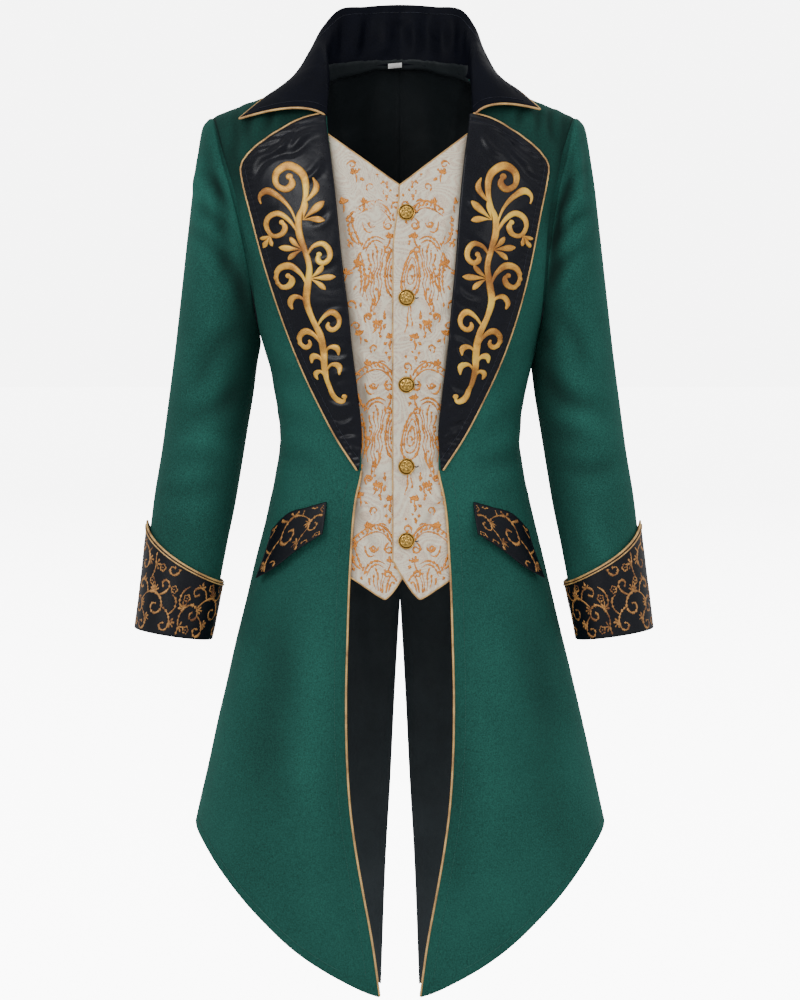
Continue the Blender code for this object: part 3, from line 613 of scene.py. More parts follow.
def finished(name, points, faces, materials, which=None, sharp=None):
    """One mesh object at the origin that rides on the coat, its faces turned outwards.

    The faces already agree with each other, so the sign of the volume that they enclose says whether all
    of them have to be turned.
    """
    faces = [np.asarray(group) for group in faces]
    volume = 0
    for group in faces:
        for k in range(1, group.shape[1] - 1):
            a, b, c = (points[group[:, i]] for i in (0, k, k + 1))
            volume += (a * np.cross(b, c)).sum() / 6
    listed = [face for group in faces for face in (group if volume > 0 else group[:, ::-1]).tolist()]
    mesh = bpy.data.meshes.new(name)
    mesh.from_pydata(points.tolist(), [], listed)
    for material in materials:
        mesh.materials.append(material)
    if which is not None:
        mesh.polygons.foreach_set("material_index", join(which).astype(np.int32))
    mesh.shade_smooth()
    if sharp is not None:
        mesh.set_sharp_from_angle(angle=sharp)
    made = bpy.data.objects.new(name, mesh)
    bpy.context.scene.collection.objects.link(made)
    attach(made, "root")
    return made


def mark(made, name, values):
    """Write numbers on a mesh's first points, nought on the others, for its finish to read."""
    whole = np.zeros(len(made.data.vertices), np.float32)
    whole[: len(values)] = values
    made.data.attributes.new(name, "FLOAT", "POINT").data.foreach_set("value", whole)


def ringed(number):
    """A grid of point numbers with its first column again after its last, so that it closes to a ring."""
    return join([number, number[:, :1]], 1)


def quads(number):
    """One four-sided face for each cell of a grid of point numbers."""
    a, b = number[:-1, :-1].ravel(), number[:-1, 1:].ravel()
    c, d = number[1:, 1:].ravel(), number[1:, :-1].ravel()
    return np.stack([a, b, c, d], 1)


def tube(rings, sides, start=0, closed=False):
    """A tube's side faces, and its two end faces unless it is closed. Points run ring by ring."""
    number = ringed(np.arange(rings * sides).reshape(-1, sides) + start)
    if closed:
        return [quads(join([number, number[:1]]))]
    return quads(number), number[:1, :-1][:, ::-1], number[-1:, :-1]


def cloth(name, outer, inner, materials, ring=False, rounding=0.45):
    """A closed cloth wall between two grids of points, its edges rounded.

    The rim runs over a third line of points, half way between the walls and out by `rounding` times the
    wall. With two materials the second is the inner wall's.
    """
    rows, columns = outer.shape[:2]
    size = rows * columns
    number = np.arange(size).reshape(rows, columns)
    if ring:
        number = ringed(number)
        borders = [number[0], number[-1, ::-1]]
        nexts = [number[1], number[-2, ::-1]]
    else:
        row, column = np.indices((rows, columns))
        inside = number[np.clip(row, 1, rows - 2), np.clip(column, 1, columns - 2)]
        run = [(0, slice(None)), (slice(1, None), -1), (-1, slice(-2, None, -1)), (slice(-2, None, -1), 0)]
        borders = [join([number[part] for part in run])]
        nexts = [join([inside[part] for part in run])]
    flat_out, flat_in = outer.reshape(-1, 3), inner.reshape(-1, 3)
    points, faces, which = [flat_out, flat_in], [quads(number)], [np.zeros(len(quads(number)))]
    faces.append(quads(number)[:, ::-1] + size)
    which.append(np.full(len(faces[-1]), len(materials) - 1))
    start = 2 * size
    for border, beyond in zip(borders, nexts):
        out, away = flat_out[border], unit(flat_out[border] - flat_out[beyond])
        thick = np.linalg.norm(out - flat_in[border], axis=1, keepdims=True)
        rim = ((out + flat_in[border]) / 2 + away * thick * rounding)[:-1]
        order = np.append(np.arange(len(rim)), 0) + start
        points.append(rim)
        faces += [quads(np.stack([order, border])), quads(np.stack([border + size, order]))]
        which += [np.zeros(len(border) - 1)] * 2
        start += len(rim)
    return finished(name, join(points), faces, materials, which)


def resampled(path, step, closed=False):
    """A path's points set at even steps along it, at about `step` metres."""
    path = join([path, path[:1]]) if closed else path
    length = run_length(path)
    count = max(int(length[-1] / step), 4)
    at = np.linspace(0, length[-1], count + 1)
    even = np.stack([np.interp(at, length, path[:, axis]) for axis in range(path.shape[1])], -1)
    return even[:-1] if closed else even


def softened(path, times, closed=False):
    """A path with each point moved to the mean of itself and its neighbours, several times over."""
    for _ in range(times):
        mean = (np.roll(path, 1, 0) + 2 * path + np.roll(path, -1, 0)) / 4
        if not closed:
            mean[0], mean[-1] = path[0], path[-1]
        path = mean
    return path


def frames(path, square, closed=False):
    """Two directions across a path at each of its points, the second as near `square` as it can be."""
    ahead = np.roll(path, -1, 0) - np.roll(path, 1, 0)
    if not closed:
        ahead[0], ahead[-1] = path[1] - path[0], path[-1] - path[-2]
    ahead = unit(ahead)
    across = unit(np.cross(ahead, square))
    return across, np.cross(across, ahead)


def cord(name, path, radius, square, closed=False):
    """A twisted cord along a path.

    A ring's radius is the cord's, plus a share of it times the cosine of three times the angle less the
    turn that the twist has made by that length.
    """
    path = softened(resampled(path, CORD_STEP, closed), 6, closed)
    across, third = frames(path, square, closed)
    turns = len(path) * CORD_STEP / bpy.context.scene.tailcoat_sizes.cord_twist
    twist = 2 * np.pi * np.round(turns) / len(path) * np.arange(len(path))[:, None]
    angle = circle(CORD_SIDES)[None, :]
    wide = radius * (1 + CORD_LOBE * np.cos(CORD_PLIES * (angle - twist)))
    ends = np.minimum(np.arange(len(path)), np.arange(len(path))[::-1])[:, None]
    wide = wide if closed else wide * np.sqrt(np.clip((ends + 0.3) / 3, 0, 1))
    rings = path[:, None] + wide[..., None] * (
        across[:, None] * np.cos(angle)[..., None] + third[:, None] * np.sin(angle)[..., None]
    )
    faces = tube(len(path), CORD_SIDES, closed=closed)
    return finished(name, rings.reshape(-1, 3), faces, [finish("cord")])


# The raised section of an embroidered stroke, and the plain one of a woven line: offset and height
RAISED = np.array([(-1, 0), (-0.75, 0.72), (-0.3, 0.97), (0.3, 0.97), (0.75, 0.72), (1, 0), (0, -0.5)])
WOVEN = np.array([(-1, 0), (0, 1), (1, 0), (0, -0.6)])


def strokes(name, drawn, place, high, section, material):
    """Raised strokes on a cloth: a section carried along each line, as wide as the stroke is there.

    `drawn` holds lines as rows of x, y and half width in the cloth's own plane, and `place` sets
    arrays of x, y and height onto the cloth. Height is `high` times the section's, a little less
    where a stroke is thin.
    """
    size = len(section)
    xs, ys, hs, faces, caps, start = [], [], [], [], [], 0
    for line in drawn:
        step = np.gradient(line[:, :2], axis=0)
        aside = np.stack([-step[:, 1], step[:, 0]], 1)
        aside /= np.maximum(np.linalg.norm(aside, axis=1, keepdims=True), 1e-9)
        wide = line[:, 2:3] * section[None, :, 0]
        xs.append(line[:, :1] + aside[:, :1] * wide)
        ys.append(line[:, 1:2] + aside[:, 1:] * wide)
        hs.append(high * section[None, :, 1] * np.clip(line[:, 2:3] / FULL_HEIGHT_WIDTH, 0.35, 1))
        side, *ends = tube(len(line), size, start)
        faces.append(side)
        caps += ends
        start += len(line) * size
    points = place(*(join([part.ravel() for part in parts]) for parts in (xs, ys, hs)))
    return finished(name, points, [join(faces), join(caps)], [material])


def pattern(name, drawn, place, coat, times=1):
    """A woven pattern's flat strokes, its height given by the user's size."""
    high = times * bpy.context.scene.tailcoat_sizes.weave_height
    return strokes(name, drawn, place, high, WOVEN, finish(coat))


# One stitch: a bent thread in four rings, as share of its length, height and half width
STITCH = np.array([(-0.5, -0.6, 0.5), (-0.25, 0.7, 1), (0.25, 0.7, 1), (0.5, -0.6, 0.5)])


def stitches(name, paths, material):
    """A row of like stitches along each path, given as points and the cloth's directions outwards there."""
    sizes = bpy.context.scene.tailcoat_sizes
    centre, ahead, out = [], [], []
    for points, normal in paths:
        sewn = resampled(join([points, normal], 1), sizes.stitch_pitch)
        centre.append((sewn[1:, :3] + sewn[:-1, :3]) / 2)
        ahead.append(unit(sewn[1:, :3] - sewn[:-1, :3]))
        out.append(unit(sewn[1:, 3:] + sewn[:-1, 3:]))
    centre, ahead, out = (join(part)[:, None, None] for part in (centre, ahead, out))
    aside = np.cross(ahead, out)
    thick = sizes.thread / 2
    angle = circle(STITCH_SIDES)
    along = STITCH[:, 0, None, None] * sizes.stitch
    rise = STITCH[:, 1, None, None] * thick
    wide = STITCH[:, 2, None, None] * thick
    cosine, sine = np.cos(angle)[None, :, None], np.sin(angle)[None, :, None]
    points = centre + ahead * along + out * (rise + wide * sine) + aside * wide * cosine
    shift = (np.arange(len(points)) * len(STITCH) * STITCH_SIDES)[:, None, None]
    faces = [(part + shift).reshape(-1, part.shape[1]) for part in tube(len(STITCH), STITCH_SIDES)]
    return finished(name, points.reshape(-1, 3), faces, [material])


# Folds


def folds(u, v, rows):
    """Height of soft folds over a cloth's own plane.

    A row is a bowed line from one end to the other, with its half width and height. The height falls off
    as a bell across and past the ends, and a low bell of the other sign runs along both sides.
    """
    total = np.zeros(np.broadcast_shapes(np.shape(u), np.shape(v)))
    for u0, v0, u1, v1, bow, wide, high in rows:
        du, dv = u1 - u0, v1 - v0
        length = np.hypot(du, dv)
        along = ((u - u0) * du + (v - v0) * dv) / length**2
        share = np.clip(along, 0, 1)
        off = ((u - u0) * dv - (v - v0) * du) / length - bow * 4 * share * (1 - share)
        past = (along - share) * length
        fade = bell(past, 0, wide) * (0.25 + 0.75 * np.sin(np.pi * share) ** 0.8)
        total += high * (bell(off, 0, wide) - 0.4 * bell(np.abs(off), 1.9 * wide, wide)) * fade
    return total


# Soft folds in millimetres: from x, z to x, z, bow, half width, height. x is the distance from the middle.
FRONT_FOLDS = both("""
205 -62 188 -125 4 8 -1.8, 196 -105 176 -180 6 9 -2.2, 176 -18 180 -66 3 5 -2.4,
160 -20 160 -54 -2 5 -2, 142 -22 138 -46 1 5 -1.8, 196 -30 192 -92 3 7 -1.8,
150 -300 118 -352 8 13 -1.2, 146 -372 96 -408 4 12 -1.4, 148 -420 88 -436 -5 11 -1.6,
140 -450 96 -458 2 10 1, 100 -610 112 -900 10 24 1.6, 150 -600 178 -840 -12 26 -1.8,
70 -660 66 -960 6 18 -1.4, 196 -640 224 -850 6 22 1.6
""", """
212 -64 192 -150 5 8 -2, 198 -66 182 -132 3 7 -1.6, 194 -170 170 -240 5 9 -2,
170 -18 178 -62 -3 5 -2.4, 152 -20 156 -50 2 5 -2, 190 -24 194 -80 2 6 -1.8,
152 -310 124 -346 -6 12 -1.4, 150 -385 100 -402 6 12 -1.2, 144 -424 92 -448 5 12 -1.6,
94 -600 104 -880 -8 22 1.6, 140 -590 170 -850 10 26 -1.8, 72 -700 60 -980 -4 18 -1.2,
190 -660 216 -860 -8 20 1.4
""")
BACK_FOLDS = both("""
188 -70 168 -190 10 10 -2.2, 176 -130 150 -262 10 12 -2.2, 120 -50 60 -68 6 12 -1.4,
140 -330 60 -392 8 13 -1.8, 146 -392 50 -424 -6 12 -2, 150 -440 62 -446 5 11 1.4,
60 -560 74 -980 10 22 -2.4, 120 -540 150 -900 -14 26 2.2, 178 -600 214 -850 8 22 -1.8,
34 -680 50 -1030 -6 16 1.6
""", """
192 -64 172 -176 8 10 -2.2, 180 -150 148 -270 -8 12 -2, 112 -52 52 -62 -5 12 -1.4,
142 -344 70 -386 -8 13 -1.8, 148 -400 44 -418 6 12 -1.8, 148 -448 70 -458 -5 12 1.4,
70 -580 80 -1000 -10 24 -2.2, 126 -560 158 -880 12 24 2, 174 -610 206 -860 -8 20 -1.6,
40 -700 48 -1040 6 15 1.4
""")
SLEEVE_FRONT_FOLDS = both("""
216 -60 203 -128 4 7 -2.4, 221 -40 226 -130 -2 6 -2.6, 219 -96 190 -172 9 7 -3.6,
226 -144 184 -202 10 8 -3.8, 224 -128 192 -190 9 6 2, 220 -186 181 -236 8 8 -3.4,
156 -278 158 -312 0 12 3.6, 208 -120 186 -205 6 8 -2.6, 236 -120 214 -205 10 11 1.6,
190 -262 222 -330 -8 11 -2.2, 176 -330 236 -372 10 11 -2.2, 186 -382 248 -404 -6 11 1.6,
196 -440 262 -436 6 10 -1.6, 224 -500 258 -560 5 12 1.2
""", """
224 -66 200 -175 6 8 -2.6, 236 -64 242 -170 -3 7 -2.8, 230 -80 234 -150 -2 7 2.2,
229 -95 192 -160 9 8 -3, 233 -136 192 -200 11 9 -3.4, 230 -166 197 -228 9 9 -3,
202 -190 176 -258 6 8 -2.4, 184 -280 230 -348 -8 12 -2.2, 184 -352 246 -380 8 11 -2,
192 -420 254 -414 -6 11 1.6, 204 -462 268 -470 4 10 -1.4
""")
SLEEVE_BACK_FOLDS = both("""
218 -64 196 -176 8 9 -2.6, 226 -140 186 -250 10 11 -2.4, 250 -330 190 -360 8 11 -2.8,
256 -372 188 -402 -8 10 -3, 262 -416 196 -432 6 10 -2.6, 268 -470 206 -476 -5 10 -1.8
""", """
222 -60 202 -160 -8 9 -2.6, 232 -128 190 -240 10 11 -2.4, 248 -318 192 -350 -8 11 -2.8,
258 -362 190 -388 8 11 -3, 260 -408 194 -424 -6 10 -2.4, 266 -456 204 -470 5 10 -1.8
""")
# Satin wrinkles of the lapels
LAPEL_FOLDS = both("""
98 -58 122 -82 4 4 1.2, 112 -52 140 -74 -3 3.6 -1, 128 -64 158 -92 4 4 1.1, 90 -78 112 -104 -3 4 -.9,
140 -92 166 -112 3 4 -.9, 82 -132 98 -150 2 4 .8, 78 -178 100 -196 -3 4.2 -.8,
122 -166 150 -158 2 4.4 .8, 112 -236 136 -246 3 4.4 -.8, 66 -236 86 -250 3 4 .9,
60 -286 86 -300 -3 4.2 -1, 62 -300 82 -324 4 3.8 1, 58 -342 84 -352 3 4 -1, 54 -372 82 -366 -3 3.6 1.1,
52 -392 74 -386 3 3.4 -1, 50 -408 66 -402 -2 3 1, 48 -424 58 -420 2 2.8 -.8
""", """
92 -54 118 -70 -3 4 1.1, 104 -70 136 -80 4 4 -1.1, 120 -58 150 -84 3 3.6 1.2,
136 -80 160 -104 -4 4.2 -1, 86 -90 108 -112 3 4 .9, 80 -146 102 -158 3 4.2 -.9,
128 -150 154 -164 -3 4.4 .8, 74 -200 96 -206 2 4 .8, 108 -222 130 -238 -2 4.4 -.8,
62 -262 84 -268 -3 4 .9, 60 -308 88 -306 3 4 -1, 58 -330 82 -340 -3 4 1.1, 56 -362 82 -358 3 3.6 -1,
52 -384 74 -392 3 3.6 1, 50 -402 68 -406 -2 3 -1, 47 -422 58 -416 2 2.8 .9
""")
VEST_FOLDS = both("""
66 -130 50 -210 3 5.5 -1.2, 58 -255 30 -290 4 6 -1, 54 -300 46 -390 -4 5 -1.4, 44 -330 16 -352 3 5 -.9,
42 -428 12 -446 -3 5.5 -1, 48 -478 22 -520 4 6 -1.2, 52 -520 36 -560 3 5 1
""", """
74 -120 56 -230 3 6 -1.4, 60 -270 26 -318 -4 6 -1.2, 52 -296 44 -400 3 5 -1.4, 50 -340 28 -372 3 5 1,
44 -440 18 -470 3 5.5 -1, 52 -486 26 -536 -4 6 -1.3, 54 -528 34 -556 2 5 1
""")
# The collar's soft upright folds: x runs from the right wing, below zero, to the left one, z up from the seam
COLLAR_LONG = 0.225
COLLAR_HIGH = 0.085
COLLAR_FOLDS = millimetres("""
-70 10 -64 80 4 10 2, -50 20 -44 78 -3 8 -1.6, -26 6 -18 70 4 9 1.8, -4 24 2 84 -2 10 -1.8,
16 4 24 66 4 9 2, 36 20 44 84 -4 8 -1.4, 60 8 62 76 3 9 1.8, 82 20 86 70 -2 8 -1.4,
-92 16 -88 72 2 8 -1.4, -128 20 -116 66 3 9 1.2, 124 18 118 68 -3 9 1.2, -160 30 -140 60 3 8 -1,
158 28 142 60 -3 8 -1, -12 66 20 72 3 6 .8, -40 14 -12 22 -3 6 .8
""")


def edge_dip(distance, wide, deep):
    """A cloth's dip towards a seam: `deep` at the seam, nothing at `wide` from it."""
    return -deep * (1 - ease(0, wide, distance))


def nap_waves(x, z):
    """A faint long unevenness of cloth that hangs freely, as three crossing sine waves."""
    return 0.00022 * (np.sin(61 * x + 9 * z) + np.sin(23 * z - 37 * x + 1.7) + np.sin(47 * z + 83 * x + 4.1))


def lapel_lift(x, z, side):
    """How far the lapel's face lies off the front: its crown, puckered edges and wrinkles.

    The crown is a sine across the lapel. Puckers are a sine along the outer edge that fades inwards.
    """
    high = LAPEL_SIDE["z"][-1]
    run = np.clip((z - BREAK_POINT) / (high - BREAK_POINT), 0, 1)
    inner = follow(FRONT_EDGE, "x", z) - ROLL_OUT
    outer = follow(LAPEL_SIDE, "x", np.minimum(z, high))
    across = np.clip((x - inner) / np.maximum(outer - inner, 1e-4), 0, 1)
    crown = LAPEL_CROWN * np.sin(np.pi * across**0.7) * ease(0, 0.2, run)
    top = follow(LAPEL_TOP, "z", np.clip(x, LAPEL_TOP["x"][0], LAPEL_TOP["x"][-1])) - z
    near = np.minimum(np.maximum(outer - x, 0), np.where(z > high - 0.03, np.maximum(top, 0), 1))
    phase = z * 2 * np.pi / PUCKER_PITCH + x * PUCKER_SLANT + 1.3 * np.sin(31 * z + side)
    pucker = PUCKER_HEIGHT * np.sin(phase) * bell(near, PUCKER_INSET, PUCKER_WIDE)
    wrinkles = LAPEL_FOLD_SHARE * folds(x, z, LAPEL_FOLDS[side]) * ease(0, 0.004, near)
    return LAY_GAP + SATIN + crown + pucker + wrinkles + edge_dip(near, 0.004, 0.0003)


def vest_lift(x, z, side):
    """How far the vest's face lies off the front's form; the right side lies deeper at the closing."""
    sunk = 0 if side > 0 else VEST_UNDERLAP
    return VEST_LIFT - sunk * (1 - ease(0.012, 0.04, x)) + folds(x, z, VEST_FOLDS[side]) * VEST_FOLD_SHARE


# Ornament: every line is rows of x, y and half width on the cloth's own plane

# The lapel's scroll in millimetres: x from the middle, z and half width, its lines parted by semicolons
LAPEL_LINES = """
104 -136 .9, 111 -150 3.3, 112 -170 4.2, 106 -190 3.5, 101 -209 3.5, 103 -229 4.2, 105 -248 4.2,
99 -268 3.3, 90 -287 4, 86 -308 4.2, 85 -327 3.8, 80 -346 2.8, 71 -362 3.5, 64 -364 2.6,
62.5 -358.5 1.2;
112.5 -172 .9, 123 -156 2.6, 136 -148 3.5, 146 -153 3.5, 148 -165 2.8, 141 -174 2.6, 131 -172 3.1,
127 -164 3.5, 131 -158 1.9;
112 -166 .7, 122 -142 1.9, 137 -127 3.5, 148 -122 4.2, 156 -129 2.1, 154 -137 .9;
104 -198 .9, 96 -186 2.4, 86 -183 3.3, 79 -190 3.5, 79 -201 3.1, 86 -206 3.1, 92 -201 3.3,
90 -195 1.7;
103.5 -232 .9, 112 -216 2.6, 124 -208 4.2, 136 -212 3.5, 139 -224 2.6, 132 -233 2.8, 123 -230 3.8,
121 -222 3.1, 125 -219 1.4;
104 -252 .9, 112 -244 2.1, 120 -244 3.5, 124 -251 3.5, 121 -258 1.2;
94 -279 .9, 85 -266 2.4, 76 -261 3.8, 69 -268 3.1, 70 -278 2.6, 77 -282 3.1, 82 -277 2.8,
80 -273 1.2;
87 -302 .9, 96 -288 2.4, 107 -283 4, 114 -290 3.3, 112 -299 2.6, 105 -302 3.1, 101 -297 2.4,
103 -293 1.2;
85.5 -324 .7, 91 -313 2.4, 99 -312 4.2, 100 -320 .9;
84 -336 .7, 90 -329 2.1, 96 -332 3.5, 93 -339 .7;
86 -310 .7, 79 -301 2.1, 71 -302 4, 70 -311 .9;
84.5 -331 .7, 77 -321 2.1, 69 -323 4, 68 -333 .9;
111 -150 1.4, 104 -127 3.3, 108 -103 4.6, 124 -94 5, 137 -103 4.2, 136 -116 3.3, 125 -121 4,
118.5 -114 4.2, 121.5 -107 1.9;
108 -138 .7, 98 -129 2.4, 92 -118 3.8, 96 -108 .9
"""
# The lapel's leaves in threes: x, z, heading, spread, length and width
LAPEL_FANS = numbers("""
.1075 -.156 138 34 .032 .0046, .108 -.19 6 30 .027 .0038, .101 -.223 176 30 .029 .0038,
.144 -.173 -58 30 .017 .003
""")
# The vest's hanging leaves, and the blades beside its stems, in millimetres
VEST_LEAVES = """
60 -33 .5, 59 -43 1.3, 54 -52 1.2, 49 -56 .5;
56 -33 .5, 53 -40 1, 50 -49 1.2, 47 -55 .6;
44 -29 .5, 43 -36 1, 38 -42 1, 33 -40 .4
"""
VEST_BLADES = """
48 -64 .4, 44 -82 1.1, 43 -100 1.2, 46 -116 .4;
52 -68 .4, 48 -84 1, 47 -100 1, 49 -112 .4;
20 -50 .4, 29 -46 1.1, 39 -50 1.1, 45 -60 .4;
22 -54 .4, 30 -50 1, 37 -54 1, 42 -64 .4
"""
# The vest's tendrils under the arch, in the seed shape and at the foot, in metres: x, y, heading, length,
# turn, tightness, half width, fullness, tip's half width and end knot's radius
VEST_TENDRILS = """
.016 -.025 -40 .03 -400 1.6 .0012 .8 .0004 .0011, .028 -.03 -70 .024 420 1.6 .0011 .8 .0004 .0011,
.01 -.014 80 .022 330 1.5 .0011 .8 .0004 .001, .019 -.006 40 .022 -330 1.5 .0011 .8 .0004 .001,
.036 .006 60 .02 300 1.5 .001 .8 .0004 .001
"""
VEST_SEED_CURLS = """
.0124 -.064 78 .02 -330 1.5 .0013 .7 .0005 .0011, .0096 -.086 100 .01 -160 1.4 .0011 .8 .0004 0,
.0104 -.096 60 .008 170 1.4 .001 .8 .0004 0
"""
VEST_LOW_TENDRILS = """
.042 -.146 60 .028 420 1.6 .0011 .8 .0004 .0012, .026 -.156 110 .028 -420 1.6 .0011 .8 .0004 .0012,
.054 -.13 100 .024 -300 1.5 .001 .8 .0004 .001, .06 -.15 120 .022 330 1.5 .001 .8 .0004 .001
"""
# The vest's waving stems: x, first and last height, spread, phase and half width
VEST_STEMS = numbers("""
.022 -.056 -.122 4 .2 .001, .0256 -.06 -.134 3 .9 .0009, .0296 -.054 -.126 2.6 1.9 .001,
.0336 -.062 -.138 2 2.6 .0009, .0376 -.066 -.12 3.2 3.3 .001, .005 -.122 -.158 0 .5 .0009,
.0092 -.122 -.15 0 1.6 .0009
""")
# The vest's sprigs and loose flecks: x, y and heading
SPRIGS = numbers("""
.04 -.008 95, .03 -.148 100, .05 -.16 70, .014 -.164 84, .052 -.078 120, .014 -.048 96, .064 -.09 100,
.064 -.008 80
""")
FLECKS = numbers("""
.036 -.14 30, .048 -.128 80, .007 -.056 60, .034 -.034 20, .056 -.108 110, .02 -.142 60, .04 -.168 20,
.022 -.172 130, .056 -.058 60, .066 -.044 95
""")
# The vine's scrolls in millimetres
VINE_LINES = """
2 -5 1, 7 8 1.4, 6 22 1.2, 12 34 1.8, 23 39 2, 32 33 1.8, 32 24 1.5, 25 21 1.6, 20.5 26 1.8,
23.5 30 1;
30 35 .8, 42 45 1.4, 56 48 2, 68 41 1.9, 70 29 1.5, 61 23 1.5, 53 27 1.8, 54 34 1.7, 60 35 1;
69 33 .8, 79 28 1.4, 85 16 1.8, 81 6 1.6, 73 6 1.4, 71 12 1.6, 76 14 .9;
33 27 .8, 42 18 1.4, 44 7 1.8, 36 2 1.5, 30 6 1.4, 32 12 1.5, 37 11 .9;
44 46 .8, 40 56 1.4, 30 60 1.8, 22 55 1.4, 25 49 1.4, 30 51 .9;
64 45 .8, 74 50 1.4, 79 59 1.7, 73 64 1.4, 67 60 1.2, 69 56 .8;
8 30 .6, 4 42 1.3, 8 54 1.3, 16 60 .6;
82 24 .6, 90 32 1.3, 90 44 1.3, 84 48 .6
"""
# The vine's leafy tufts: x, y, heading, leaves and their length; and its small open roses: x and y
TUFTS = numbers("""
.011 .033 120 4 .0105, .032 .033 20 4 .0085, .056 .048 92 5 .0115, .044 .017 0 4 .0085,
.008 .012 0 3 .0095, .085 .016 -20 4 .0095, .033 .059 80 3 .0085
""")
ROSES = numbers(".019 .009, .086 .054, .05 .06, .014 .046")


def curl(x, y, heading, length, turn, tight, wide, fat, tip=0.0004):
    """A line that sets off at `heading` and turns by `turn` degrees, faster towards its end.

    Its heading is the first one plus the turn times the share of its length to the power `tight`. Its
    half width is a sine that is widest early where `fat` is below one, and late where it is above.
    """
    count = max(int(length / STROKE_STEP), 8)
    t = shares(count)
    angle = np.radians(heading + turn * t**tight)
    step = length / (count - 1)
    px = x + join([[0], np.cumsum(np.cos(angle[:-1]) * step)])
    py = y + join([[0], np.cumsum(np.sin(angle[:-1]) * step)])
    return np.stack([px, py, tip + (wide - tip) * np.sin(np.pi * t**fat) ** 0.8], 1)


def dot(x, y, radius):
    """A round knot, as a short line whose half width follows a circle."""
    t = np.linspace(-0.98, 0.98, 11)
    return np.stack([x + radius * t, y + 0 * t, radius * np.sqrt(1 - t * t)], 1)


def dots(text):
    """Round knots, given in millimetres as x, y and radius."""
    return [dot(*row) for row in millimetres(text)]


def curls(text):
    """The curls of a table, each with a round knot at its end where its last column gives a radius."""
    drawn = []
    for *shape, knot in numbers(text):
        drawn.append(curl(*shape))
        if knot:
            drawn.append(dot(*drawn[-1][-1, :2], knot))
    return drawn


def fan(x, y, heading, spread, count, length, wide):
    """Teardrop leaves that open out from one point, the middle one longest."""
    drawn = []
    for a in np.linspace(-1, 1, int(count)):
        size, thick = length * (1 - 0.24 * abs(a)), wide * (1 - 0.15 * abs(a))
        drawn.append(curl(x, y, heading + spread * a, size, 26 * a, 1.4, thick, 1.9))
    return drawn


def moved(drawn, x, y):
    """Lines set down at another place."""
    return [line + (x, y, 0) for line in drawn]


def kept(drawn, allowed):
    """The parts of the lines that lie where `allowed` says, each long enough to be drawn."""
    made = []
    for line in drawn:
        inside = allowed(line[:, 0], line[:, 1])
        edges = np.flatnonzero(np.diff(join([[0], inside.astype(int), [0]])))
        made += [line[a:b] for a, b in zip(edges[::2], edges[1::2]) if b - a > 4]
    return made


def roughened(drawn, mean, least):
    """Lines whose half width wavers as two sines of the place, about `mean` and down to `least`."""
    made = []
    for line in drawn:
        x, y, wide = line.T
        waver = np.sin(2100 * x + 900 * y) + np.sin(1300 * y - 700 * x + 1)
        made.append(np.stack([x, y, wide * (mean + 0.34 * waver).clip(least, 1.9)], 1))
    return made


def through(text):
    """Smooth lines, parted by semicolons, through points in millimetres: x, y and half width."""
    drawn = []
    for rows in map(millimetres, text.split(";")):
        length = run_length(rows[:, :2])
        knots = {"at": length, "x": rows[:, 0], "y": rows[:, 1], "wide": rows[:, 2]}
        at = np.linspace(0, length[-1], max(int(length[-1] / STROKE_STEP), 8))
        drawn.append(softened(np.stack([follow(knots, key, at) for key in ("x", "y", "wide")], 1), 7))
    return drawn


def lapel_scroll():
    """The lapel's baroque scroll, in metres from the coat's middle and up: a winding stem with volutes.

    The stem comes first, then the volutes and small hooks beside it, and last the crown and its leaf.
    """
    drawn = through(LAPEL_LINES)
    for x, y, heading, spread, length, wide in LAPEL_FANS:
        drawn += fan(x, y, heading, spread, 3, length, wide)
    return drawn + dots("122 -106.5 4, 131 -158.5 3.1, 90 -195.5 3.1, 125 -219.5 3.1, 62.8 -358 3.1")


